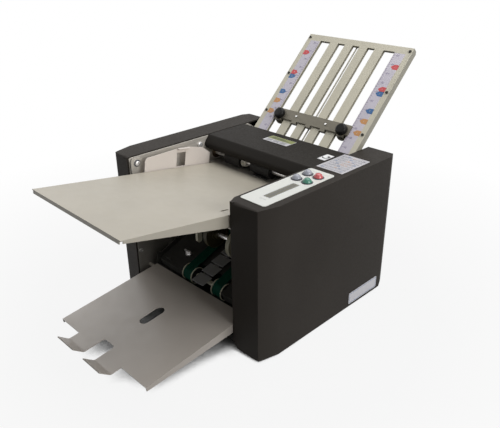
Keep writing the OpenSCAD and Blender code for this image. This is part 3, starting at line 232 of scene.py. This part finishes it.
M = {
    "charcoal_paint": leather("charcoal_paint", (0.035, 0.0305, 0.0265), 0.48, 0.05),
    "beige_paint": painted("beige_paint", (0.455, 0.42, 0.35), 0.36, depth=0.06, vary=0.04),
    "tray_paint": painted("tray_paint", (0.43, 0.39, 0.35), 0.34, depth=0.03, vary=0.03),
    # The fold plate's side flanges get painted shade at half brightness.
    "plate_paint": painted("plate_paint", (0.62, 0.585, 0.47), 0.34, depth=0.05, side_shade=0.5),
    "plate_steel": brushed("plate_steel", (0.52, 0.49, 0.44), 0.42, (1, 1, 9), metal=0.35,
                           low_part=0.42),
    "guide_paint": painted("guide_paint", (0.68, 0.62, 0.57), 0.34, depth=0.05, vary=0.04),
    "lid_paint": leather("lid_paint", (0.025, 0.0225, 0.020), 0.55, 0.05),
    "dark_steel": painted("dark_steel", (0.040, 0.039, 0.035), 0.5, depth=0.3, gloss=0.12),
    "bright_steel": brushed("bright_steel", (0.80, 0.79, 0.78), 0.28, (9, 1, 1), metal=0.65),
    "stop_metal": brushed("stop_metal", (0.165, 0.15, 0.115), 0.40, (1, 6, 6), metal=0.35),
    "roller_rubber": moulded("roller_rubber", (0.030, 0.029, 0.028), 0.62, vary=0.15, gloss=0.25),
    "black_rubber": moulded("black_rubber", (0.020, 0.020, 0.020), 0.7, vary=0.15, gloss=0.25),
    "belt_green": woven("belt_green", (0.001, 0.040, 0.024), 0.6),
    "black_plastic": moulded("black_plastic", (0.010, 0.0098, 0.009), 0.30, gloss=0.14),
    "cream_plastic": moulded("cream_plastic", (0.66, 0.64, 0.50), 0.4, through=0.15),
    # A lighter copy of cream_plastic for the feed collars: painted light against the shade under the top cover.
    "cream_plastic_painted_light": moulded("cream_plastic_painted_light", (0.86, 0.84, 0.76), 0.35, through=0.1),
    # A darker copy of cream_plastic for the right stacker wheel: painted shade.
    "cream_plastic_painted_shade": moulded("cream_plastic_painted_shade", (0.42, 0.41, 0.31), 0.4, gloss=0.3),
    "bed_plastic": moulded("bed_plastic", (0.28, 0.28, 0.28), 0.45, gloss=0.25),
    "membrane": moulded("membrane", (0.72, 0.73, 0.69), 0.34, vary=0.02),
    # The left stacker wheel: dark brown, darkened further as painted shade of the feed table.
    "wheel_brown": moulded("wheel_brown", (0.040, 0.035, 0.018), 0.5, vary=0.12, gloss=0.2),
    "display_glass": moulded("display_glass", (0.135, 0.13, 0.09), 0.2, coat=0.1),
    "scale_film": moulded("scale_film", (0.60, 0.565, 0.64), 0.3, coat=0.3, vary=0.03),
    "label_film": moulded("label_film", (0.58, 0.57, 0.60), 0.33, coat=0.3, vary=0.03),
    "button_green": moulded("button_green", (0.020, 0.190, 0.120), 0.2, coat=0.5),
    "button_red": moulded("button_red", (0.52, 0.07, 0.075), 0.2, coat=0.5),
    "button_grey": moulded("button_grey", (0.30, 0.31, 0.36), 0.2, coat=0.5),
    "board_green": laminate("board_green", (0.010, 0.090, 0.035)),
    # Dark bronze; part of the darkness is painted shade of the top cover.
    "bush_bronze": brushed("bush_bronze", (0.13, 0.095, 0.06), 0.45, (1, 6, 6)),
    "ink_dark": moulded("ink_dark", (0.05, 0.05, 0.06), 0.5),
    "ink_violet": moulded("ink_violet", (0.24, 0.20, 0.34), 0.45),
    "ink_red": moulded("ink_red", (0.62, 0.07, 0.08), 0.35),
    "ink_blue": moulded("ink_blue", (0.03, 0.13, 0.33), 0.35),
    "ink_orange": moulded("ink_orange", (0.58, 0.28, 0.10), 0.35),
    "ink_green": moulded("ink_green", (0.21, 0.235, 0.07), 0.4),
    "ink_white": moulded("ink_white", (0.66, 0.58, 0.52), 0.35),
    "ink_clear": moulded("ink_clear", (0.86, 0.86, 0.87), 0.3),
    "ink_grey": moulded("ink_grey", (0.42, 0.42, 0.47), 0.4),
}

FINISH = {row["node"]: row["material_slot"] for row in frame["record"]["subparts"]}
# Edge roundings in millimetres; the other pieces have SMALL_BEVEL
SMALL_BEVEL = 0.25
BEVEL = {"left_cover": 1.6, "right_cover": 1.6, "top_cover": 1.0, "rubber_feet": 0.8, "motor": 0.8,
         "left_stop_knob": 0.6, "right_stop_knob": 0.6, "guide_finger": 0.8, "upper_stop_bar": 0.5}
NO_BEVEL = {"separator_spring"}
OWN_FINISH = {"paper_guides": "guide_paint", "top_cover": "lid_paint", "table_bracket": "plate_steel",
              "feed_collars": "cream_plastic_painted_light", "right_stacker_wheel": "cream_plastic_painted_shade"}


def smooth(mesh, state=True):
    for poly in mesh.polygons:
        poly.use_smooth = state


def dress(obj, width):
    """Welded, softly rounded edges and smooth shading."""
    mesh = obj.data
    if "custom_normal" in mesh.attributes:
        mesh.attributes.remove(mesh.attributes["custom_normal"])
    smooth(mesh)
    weld = obj.modifiers.new("weld", "WELD")
    weld.merge_threshold = 0.00001
    bevel = obj.modifiers.new("bevel", "BEVEL")
    bevel.width = width * MM
    bevel.segments = 3 if width > 0.5 else 2
    bevel.limit_method = "ANGLE"
    bevel.angle_limit = math.radians(32)
    bevel.harden_normals = True
    obj.modifiers.new("normals", "WEIGHTED_NORMAL").keep_sharp = True


for name, obj in nodes.items():
    obj.data.materials.clear()
    obj.data.materials.append(M[OWN_FINISH.get(name, FINISH[name])])
    if name in NO_BEVEL:
        smooth(obj.data)
    else:
        dress(obj, BEVEL.get(name, SMALL_BEVEL))

# ---------- builders ----------
# Axes of the frames that pieces are drawn in
FLAT = ((1, 0, 0), (0, 1, 0))
FACING_RIGHT = ((0, 1, 0), (0, 0, 1))
FACING_LEFT = ((0, 0, 1), (0, 1, 0))


def frame_of(origin, x_axis, y_axis):
    """Frame with its origin in metres; its z is the cross product of the two axes."""
    x = Vector(x_axis).normalized()
    y = Vector(y_axis).normalized()
    z = x.cross(y)
    rows = [(x[i], y[i], z[i], origin[i]) for i in range(3)]
    return Matrix((*rows, (0, 0, 0, 1)))


def point(place, x, y, z):
    """The frame's point at x, y, z in millimetres."""
    return place @ Vector((x * MM, y * MM, z * MM))


def piece(name, body, material, bm, rounded=False):
    """Turns the bmesh into a named piece that rides on the body."""
    bmesh.ops.recalc_face_normals(bm, faces=bm.faces)
    mesh = bpy.data.meshes.new(name)
    bm.to_mesh(mesh)
    bm.free()
    smooth(mesh, rounded)
    obj = bpy.data.objects.new(name, mesh)
    scene.collection.objects.link(obj)
    obj.data.materials.append(M[material])
    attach(obj, body)


def printed(name, body, material, place, shapes, lift=0.05, thick=0.06):
    """Flat printed shapes: each is a list of (x, y) corners in millimetres in the frame given."""
    bm = bmesh.new()
    for shape in shapes:
        low = [bm.verts.new(point(place, x, y, lift)) for x, y in shape]
        high = [bm.verts.new(point(place, x, y, lift + thick)) for x, y in shape]
        bm.faces.new(high)
        bm.faces.new(low[::-1])
        for i in range(len(shape)):
            j = (i + 1) % len(shape)
            bm.faces.new((low[i], low[j], high[j], high[i]))
    piece(name, body, material, bm)


def turned(name, body, material, place, profile, turns=48):
    """A ring with the closed profile, (radius, height) points, round the frame's z axis."""
    bm = bmesh.new()
    loops = []
    for i in range(turns):
        a = 2 * math.pi * i / turns
        loops.append([bm.verts.new(point(place, r * math.cos(a), r * math.sin(a), z)) for r, z in profile])
    for i in range(turns):
        one, two = loops[i], loops[(i + 1) % turns]
        for k in range(len(profile)):
            m = (k + 1) % len(profile)
            bm.faces.new((one[k], two[k], two[m], one[m]))
    piece(name, body, material, bm)


def domes(name, body, material, place, centres, r, h, turns=24, rings=5):
    """Low domes standing on the place's XY plane."""
    bm = bmesh.new()
    for cx, cy in centres:
        loops = []
        for k in range(rings):
            a = math.pi / 2 * k / rings
            reach = r * math.cos(a)
            steps = [2 * math.pi * i / turns for i in range(turns)]
            loops.append([bm.verts.new(point(place, cx + reach * math.cos(t), cy + reach * math.sin(t),
                                             h * math.sin(a))) for t in steps])
        for one, two in zip(loops, loops[1:]):
            for i in range(turns):
                j = (i + 1) % turns
                bm.faces.new((one[i], one[j], two[j], two[i]))
        top = bm.verts.new(point(place, cx, cy, h))
        for i in range(turns):
            bm.faces.new((loops[-1][i], loops[-1][(i + 1) % turns], top))
        bm.faces.new(loops[0][::-1])
    piece(name, body, material, bm, rounded=True)


def rect(x0, y0, x1, y1):
    return [(x0, y0), (x1, y0), (x1, y1), (x0, y1)]


def border(x0, y0, x1, y1, width):
    """Four strips just inside the rectangle."""
    return [rect(x0, y0, x1, y0 + width), rect(x0, y1 - width, x1, y1),
            rect(x0, y0, x0 + width, y1), rect(x1 - width, y0, x1, y1)]


def ring(cx, cy, r, width=0.5, parts=20, start=0.0, sweep=360.0):
    """A ring, or an arc of one, as short straight pieces."""
    out = []
    for i in range(parts):
        a = math.radians(start + sweep * i / parts)
        b = math.radians(start + sweep * (i + 1) / parts)
        out.append([(cx + q * math.cos(t), cy + q * math.sin(t))
                    for q, t in ((r, a), (r + width, a), (r + width, b), (r, b))])
    return out


SEGMENTS = {"0": "abcdef", "1": "bc", "2": "abged", "3": "abgcd", "4": "fgbc",
            "5": "afgcd", "6": "afgedc", "7": "abc", "8": "abcdefg", "9": "abcdfg"}


def digit(char, x, y, h):
    """A figure of seven strokes, h high, with its lower left corner at x, y."""
    w, t = h * 0.55, h * 0.14
    bars = {"a": rect(0, h - t, w, h), "g": rect(0, (h - t) / 2, w, (h + t) / 2), "d": rect(0, 0, w, t),
            "f": rect(0, h / 2, t, h), "b": rect(w - t, h / 2, w, h), "e": rect(0, 0, t, h / 2),
            "c": rect(w - t, 0, w, h / 2)}
    return [[(x + px, y + py) for px, py in bars[k]] for k in SEGMENTS[char]]


# ---------- scales on the upper fold plate ----------
# Millimetres in the plate's frame: x from the centre line, d down from the top edge
STRIP_INNER = 89.0
STRIP_TOP, STRIP_FOOT = 17, 252
TICKS, TICK_FIRST, TICK_STEP, TICK_HALF = 47, 20, 5, 0.18
FIGURE_X, FIGURE_H = 97.6, 3.4
FLAG_X, FLAG_W, FLAG_H = 103.6, 15.5, 10.5
KNOB_DROP = 0.003
STOP_FROM_TOP = 0.1885
PLATE_FACE = 0.00025

front_low, front_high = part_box("upper_plate_front")
up = Vector(joints["upper_stop_slide"]["axis"]).normalized()
normal = Vector((0, -up.z, up.y))
# Middle of the stop bar: the knobs turn KNOB_DROP below it
stop_point = Vector(joints["left_stop_knob_turn"]["pos_m"]) + up * KNOB_DROP
middle_x = (front_low.x + front_high.x) / 2
bar_middle = Vector((middle_x, stop_point.y, stop_point.z))
scale_place = frame_of(bar_middle + up * STOP_FROM_TOP + normal * PLATE_FACE, (1, 0, 0), up)

ticks, figures = [], []
for side in (-1, 1):
    inner = side * STRIP_INNER
    for i in range(TICKS):
        d = TICK_FIRST + i * TICK_STEP
        long_one = i % 4 == 0
        x0, x1 = sorted((inner, inner + side * (6.0 if long_one else 3.2)))
        ticks.append(rect(x0, -d - TICK_HALF, x1, -d + TICK_HALF))
        if long_one:
            for k, char in enumerate(str(20 + 2 * (i // 4))):
                figures += digit(char, side * FIGURE_X - 2.6 + k * 2.9, -d - FIGURE_H / 2, FIGURE_H)
    ticks.append(rect(inner - 0.15, -STRIP_FOOT, inner + 0.15, -STRIP_TOP))
printed("scale_ticks", "chassis", "ink_violet", scale_place, ticks)
printed("scale_figures", "chassis", "ink_violet", scale_place, figures)

MARKS = {"ink_red": (45, 94), "ink_blue": (103.5, 141), "ink_orange": (163, 188)}


def pointer(x, y, side):
    """A flag whose tip points at the scale."""
    tip = x - side * FLAG_W / 2
    back = x + side * FLAG_W / 2
    neck = x - side * FLAG_W * 0.12
    low, high = y - FLAG_H / 2, y + FLAG_H / 2
    shape = [(tip, y), (neck, low), (back, low), (back, high), (neck, high)]
    return shape if side > 0 else shape[::-1]


for colour, places in MARKS.items():
    flags = [pointer(side * FLAG_X, -d, side) for side in (-1, 1) for d in places]
    printed(f"flags_{colour[4:]}", "chassis", colour, scale_place, flags, lift=0.06)
numbers = []
order = sorted(d for places in MARKS.values() for d in places)
for side in (-1, 1):
    for i, d in enumerate(order):
        numbers += digit(str(i + 1), side * (FLAG_X + 0.8) - 0.7, -d - 1.3, 2.6)
printed("flag_figures", "chassis", "ink_white", scale_place, numbers, lift=0.14)

# ---------- control panel ----------
panel_low, panel_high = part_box("control_panel")
deck = panel_high.z
panel_place = frame_of((panel_low.x, panel_low.y, deck), *FLAT)
window_low, window_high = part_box("display_window")
wx0, wx1 = (window_low.x - panel_low.x) / MM, (window_high.x - panel_low.x) / MM
wy0, wy1 = (window_low.y - panel_low.y) / MM, (window_high.y - panel_low.y) / MM
FRAME_OUT, FRAME_LINE = 1.1, 0.4
printed("panel_frame", "chassis", "ink_grey", panel_place,
        border(wx0 - FRAME_OUT, wy0 - FRAME_OUT, wx1 + FRAME_OUT, wy1 + FRAME_OUT, FRAME_LINE))

COLLAR = [(8.05, 0.05), (9.0, 0.05), (9.0, 0.7), (8.7, 1.1), (8.05, 1.1)]
ARROW_X = 27.0
icons = []
for button in ("start_button", "stop_button", "mode_button", "count_button"):
    low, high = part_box(button)
    middle = (low + high) / 2
    cx, cy = (middle.x - panel_low.x) / MM, (middle.y - panel_low.y) / MM
    icons += ring(cx, cy, 9.6, 0.3, 36)
    turned(button + "_collar", "chassis", "ink_dark", frame_of((middle.x, middle.y, deck), *FLAT), COLLAR)
icons += [[(ARROW_X - 2, 116.5), (ARROW_X + 2, 116.5), (ARROW_X, 119.5)]]
icons += ring(wx0 + 3, wy0 - 8.5, 1.6, 0.4)
icons += [rect(wx0 + 8, wy0 - 9.3, wx0 + 14, wy0 - 8.6)]
icons += [rect(6, 150, 44, 150.4)]
printed("panel_icons", "chassis", "ink_grey", panel_place, icons)

window_place = frame_of((window_low.x, window_low.y, window_high.z), *FLAT)
blocks = [rect(4.2 + j * 0.9, 4 + k * 3.6, 4.8 + j * 0.9, 6.3 + k * 3.6)
          for k in range(16) for j in range(5) if (k * 7 + j * 3) % 4]
printed("display_figures", "chassis", "ink_dark", window_place, blocks, lift=0.02, thick=0.03)

# ---------- table of settings on the instruction plate ----------
ROWS, COLUMNS = 8, 5
TABLE_W, TABLE_H, MARGIN, HALF_LINE = 52.5, 76.5, 3, 0.12
cell_x, cell_y = (TABLE_W - 2 * MARGIN) / COLUMNS, (TABLE_H - 2 * MARGIN) / ROWS
table_place = frame_of((panel_low.x, panel_high.y + 0.0135, deck - 0.0004), *FLAT)
grid = []
for k in range(ROWS + 1):
    y = MARGIN + k * cell_y
    grid.append(rect(MARGIN, y - HALF_LINE, TABLE_W - MARGIN, y + HALF_LINE))
for k in range(COLUMNS + 1):
    x = MARGIN + k * cell_x
    grid.append(rect(x - HALF_LINE, MARGIN, x + HALF_LINE, TABLE_H - MARGIN))
printed("table_lines", "chassis", "ink_grey", table_place, grid)

words = {"ink_grey": [], "ink_orange": [], "ink_blue": [], "ink_dark": []}
for row in range(ROWS):
    for column in range(COLUMNS):
        x, y = MARGIN + column * cell_x + cell_x / 2, MARGIN + row * cell_y + cell_y / 2
        ink = "ink_blue" if (row + column) % 4 == 0 else "ink_grey"
        if column == 2 and row % 2:
            ink = "ink_orange"
        if (row * 3 + column) % 5 == 4:
            words[ink] += ring(x, y, 1.6, 0.5, 12)
        else:
            words[ink] += digit(str((row * 5 + column * 3) % 10), x - 2.6, y - 2, 4.0)
            words[ink] += digit(str((row + column * 7) % 10), x + 0.4, y - 2, 4.0)
# Lines of dots below the figures
for row in range(ROWS):
    for column in range(COLUMNS):
        for k in range(3):
            x, y = MARGIN + 0.8 + column * cell_x, MARGIN + 0.9 + row * cell_y + k * 0.9
            warm = column in (2, 3) and 3 <= row <= 5
            ink = "ink_orange" if warm else "ink_dark" if (row + k) % 2 else "ink_grey"
            for dot in range(5):
                if (dot * 5 + row * 3 + column * 7 + k) % 4:
                    words[ink].append(rect(x + dot * 1.7, y, x + dot * 1.7 + 1.1, y + 0.45))
for ink, shapes in words.items():
    printed("table_figures_" + ink[4:], "chassis", ink, table_place, shapes)

# ---------- border of the bare plate at the foot of the right cover ----------
cover_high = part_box("right_cover")[1]
plates_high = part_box("cover_plates")[1]
badge_place = frame_of((plates_high.x, cover_high.y - 0.115, 0.011), *FACING_RIGHT)
printed("badge_border", "chassis", "ink_blue", badge_place, border(1.6, 1.6, 82.4, 20.9, 0.6),
        lift=0.01, thick=0.03)

# ---------- labels on the top cover ----------
label_low, label_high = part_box("cover_labels")
left_label = frame_of((label_low.x, 0, label_high.z), *FLAT)
green_y = joints["top_cover_hinge"]["pos_m"][1] / MM - 36.5
printed("label_green", "top_cover", "ink_green", left_label,
        [rect(0.6, green_y + 13.5, 58.4, green_y + 27.4)])
dashes = []
for k in range(9):
    x, y = 4 + (k % 3) * 17, green_y + 3 + (k // 3) * 3.2
    dashes.append(rect(x, y, x + 14, y + 1))
dashes += [rect(6, green_y + 17 + k * 4, 50 - k * 12, green_y + 18.4 + k * 4) for k in range(2)]
dashes += [rect(8, green_y + 19.4, 44, green_y + 19.9), rect(8, green_y + 23.6, 30, green_y + 24.1)]
printed("label_lines", "top_cover", "ink_dark", left_label, dashes, lift=0.13)
right_label = frame_of((label_high.x - 0.008, label_low.y + 0.014, label_high.z), *FLAT)
printed("label_ground", "top_cover", "ink_clear", right_label, [rect(-7.4, -13.4, 7.4, 13.4)], lift=0.02)
arrow = ring(0, 0, 4.4, 2.3, 16, 190, 260) + [[(2.2, 7.0), (7.3, 5.0), (3.4, 0.4)]]
printed("label_arrow", "top_cover", "ink_dark", right_label, arrow, lift=0.09)

# ---------- small screw heads on the stop bar ----------
BAR_FACE = 0.00432
bar_place = frame_of(bar_middle + normal * BAR_FACE, (1, 0, 0), up)
domes("bar_screws", "upper_stop", "bright_steel", bar_place, [(-35.5, 0), (35.5, 0)], 2.15, 0.7)

# ---------- heads of the pivot screws and of one side plate screw ----------
pivot = Vector(joints["feed_table_tilt"]["pos_m"])
ear_low, ear_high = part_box("table_bracket")
for side, dark_ring_x, head_x, axes in (
        ("left", ear_low.x + 0.003, ear_low.x + 0.005, FACING_RIGHT),
        ("right", ear_high.x - 0.003, ear_high.x - 0.0044, FACING_LEFT)):
    # A thin dark ring, 0.12 mm thick, round each pivot head.
    printed(side + "_pivot_dark_ring", "chassis", "ink_dark", frame_of((dark_ring_x, pivot.y, pivot.z), *axes),
            ring(0, 0, 4.5, 1.8, 32), lift=0.0, thick=0.12)
    domes(side + "_pivot_dome", "chassis", "bright_steel", frame_of((head_x, pivot.y, pivot.z), *axes),
          [(0, 0)], 4.1, 0.9)
side_screw = (ear_low.x - 0.0001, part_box("feed_shaft")[0].y - 0.036, deck - 0.0158)
domes("side_screw_dome", "chassis", "bright_steel", frame_of(side_screw, *FACING_RIGHT), [(0, 0)], 5.2, 1.0)

# ---------- dark discs on the faces of the belt pulleys ----------
PULLEY_X, PULLEY_HALF = 0.0385, 0.0125
DISC_INNER, DISC_BAND = 4.4, 9.6
belts_low, belts_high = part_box("exit_belts")
belt_middle = (belts_low.x + belts_high.x) / 2
for joint_name, body in (("exit_front_spin", "exit_front"), ("exit_drive_spin", "exit_drive")):
    spin = Vector(joints[joint_name]["pos_m"])
    for side, side_name in ((-1, "left"), (1, "right")):
        for face, face_name, axes in ((1, "outer", FACING_RIGHT), (-1, "inner", FACING_LEFT)):
            x = belt_middle + side * PULLEY_X + face * PULLEY_HALF
            printed(f"{body}_disc_{side_name}_{face_name}", body, "black_plastic",
                    frame_of((x, spin.y, spin.z), *axes), ring(0, 0, DISC_INNER, DISC_BAND, 32),
                    lift=0.0, thick=0.1)

# ---------- room ----------
def quad(name, corners, material):
    mesh = bpy.data.meshes.new(name)
    mesh.from_pydata(corners, [], [(0, 1, 2, 3)])
    obj = bpy.data.objects.new(name, mesh)
    scene.collection.objects.link(obj)
    obj.data.materials.append(material)
    return obj


def seen_directly(tree):
    """1 for camera, glossy and transmission rays, 0 for the light that falls on the object."""
    path = tree.nodes.new("ShaderNodeLightPath")
    total = path.outputs["Is Camera Ray"]
    for kind in ("Is Glossy Ray", "Is Transmission Ray"):
        both = tree.nodes.new("ShaderNodeMath")
        both.operation = "MAXIMUM"
        tree.links.new(total, both.inputs[0])
        tree.links.new(path.outputs[kind], both.inputs[1])
        total = both.outputs["Value"]
    return total


# How open the floor is, from under the machine to free of it
UNDER_REACH, UNDER_RANGE = 0.15, (0.18, 0.30)
FADE_RANGE = (0.35, 0.9)
WORLD_LIGHT = 0.15

floor_mat, floor_tree, floor_shader = new_material("floor")
floor_tree.links.new(tint(floor_tree, noise(floor_tree, 3.0, 2.0), (0.25, 0.25, 0.25), 0.01),
                     floor_shader.inputs["Base Color"])
floor_shader.inputs["Roughness"].default_value = 0.8
floor_shader.inputs["Specular IOR Level"].default_value = 0.1
white = floor_tree.nodes.new("ShaderNodeEmission")
white.inputs["Strength"].default_value = 1.0
dim = floor_tree.nodes.new("ShaderNodeBsdfDiffuse")
dim.inputs["Color"].default_value = (0.22, 0.22, 0.22, 1)
reach = floor_tree.nodes.new("ShaderNodeVectorMath")
reach.operation = "LENGTH"
floor_tree.links.new(object_place(floor_tree), reach.inputs[0])
under = floor_tree.nodes.new("ShaderNodeAmbientOcclusion")
under.inputs["Distance"].default_value = UNDER_REACH
open_part = floor_tree.nodes.new("ShaderNodeMath")
open_part.operation = "MULTIPLY"
floor_tree.links.new(spread(floor_tree, under.outputs["AO"], 0.0, 1.0, UNDER_RANGE), open_part.inputs[0])
floor_tree.links.new(spread(floor_tree, reach.outputs["Value"], 0.90, 1.0, FADE_RANGE),
                     open_part.inputs[1])
seen = floor_tree.nodes.new("ShaderNodeMixShader")
floor_tree.links.new(open_part.outputs["Value"], seen.inputs["Fac"])
floor_tree.links.new(floor_shader.outputs["BSDF"], seen.inputs[1])
floor_tree.links.new(white.outputs["Emission"], seen.inputs[2])
by_ray = floor_tree.nodes.new("ShaderNodeMixShader")
floor_tree.links.new(seen_directly(floor_tree), by_ray.inputs["Fac"])
floor_tree.links.new(dim.outputs["BSDF"], by_ray.inputs[1])
floor_tree.links.new(seen.outputs["Shader"], by_ray.inputs[2])
floor_tree.links.new(by_ray.outputs["Shader"], floor_tree.nodes["Material Output"].inputs["Surface"])
quad("floor", [(-30, -30, 0), (30, -30, 0), (30, 30, 0), (-30, 30, 0)], floor_mat)

world = bpy.data.worlds.new("studio")
scene.world = world
world.use_nodes = True
world_tree = world.node_tree
world_light = world_tree.nodes["Background"]
world_light.inputs["Color"].default_value = (1, 1, 1, 1)
world_light.inputs["Strength"].default_value = WORLD_LIGHT
backdrop = world_tree.nodes.new("ShaderNodeBackground")
backdrop.inputs["Color"].default_value = (1, 1, 1, 1)
backdrop.inputs["Strength"].default_value = 1.0
world_mix = world_tree.nodes.new("ShaderNodeMixShader")
world_tree.links.new(seen_directly(world_tree), world_mix.inputs["Fac"])
world_tree.links.new(world_light.outputs["Background"], world_mix.inputs[1])
world_tree.links.new(backdrop.outputs["Background"], world_mix.inputs[2])
world_tree.links.new(world_mix.outputs["Shader"], world_tree.nodes["World Output"].inputs["Surface"])


def aim(obj, place, direction):
    """Puts the object at the place, looking along the direction."""
    obj.location = place
    obj.rotation_mode = "QUATERNION"
    obj.rotation_quaternion = direction.to_track_quat("-Z", "Y")


def lamp(name, place, target, size, power):
    data = bpy.data.lights.new(name, "AREA")
    data.shape = "RECTANGLE"
    data.size, data.size_y = size
    data.energy = power
    obj = bpy.data.objects.new(name, data)
    scene.collection.objects.link(obj)
    aim(obj, place, Vector(target) - Vector(place))


lamp("top_light", (0.1, 0.6, 2.2), (0, 0, 0.2), (2.4, 2.0), 35)
lamp("side_light", (2.2, 0.15, 1.1), (0, 0, 0.15), (1.3, 1.2), 30)
lamp("left_light", (-2.1, 0.1, 1.35), (0, -0.2, 0.1), (1.1, 1.2), 8)

# ---------- camera ----------
AZIMUTH, ELEVATION = math.radians(44.34), math.radians(26.14)
CAMERA_PLACE = (0.67699, -0.63396, 0.60652)

camera_data = bpy.data.cameras.new("camera")
camera = bpy.data.objects.new("camera", camera_data)
scene.collection.objects.link(camera)
scene.camera = camera
camera_data.sensor_fit = "HORIZONTAL"
camera_data.sensor_width = 36.0
camera_data.lens = 41.94
camera_data.shift_x = -0.0231
camera_data.shift_y = 0.0087
camera_data.clip_start, camera_data.clip_end = 0.05, 60
level = math.cos(ELEVATION)
aim(camera, CAMERA_PLACE,
    Vector((-math.sin(AZIMUTH) * level, math.cos(AZIMUTH) * level, -math.sin(ELEVATION))))

scene.view_settings.view_transform = "Standard"
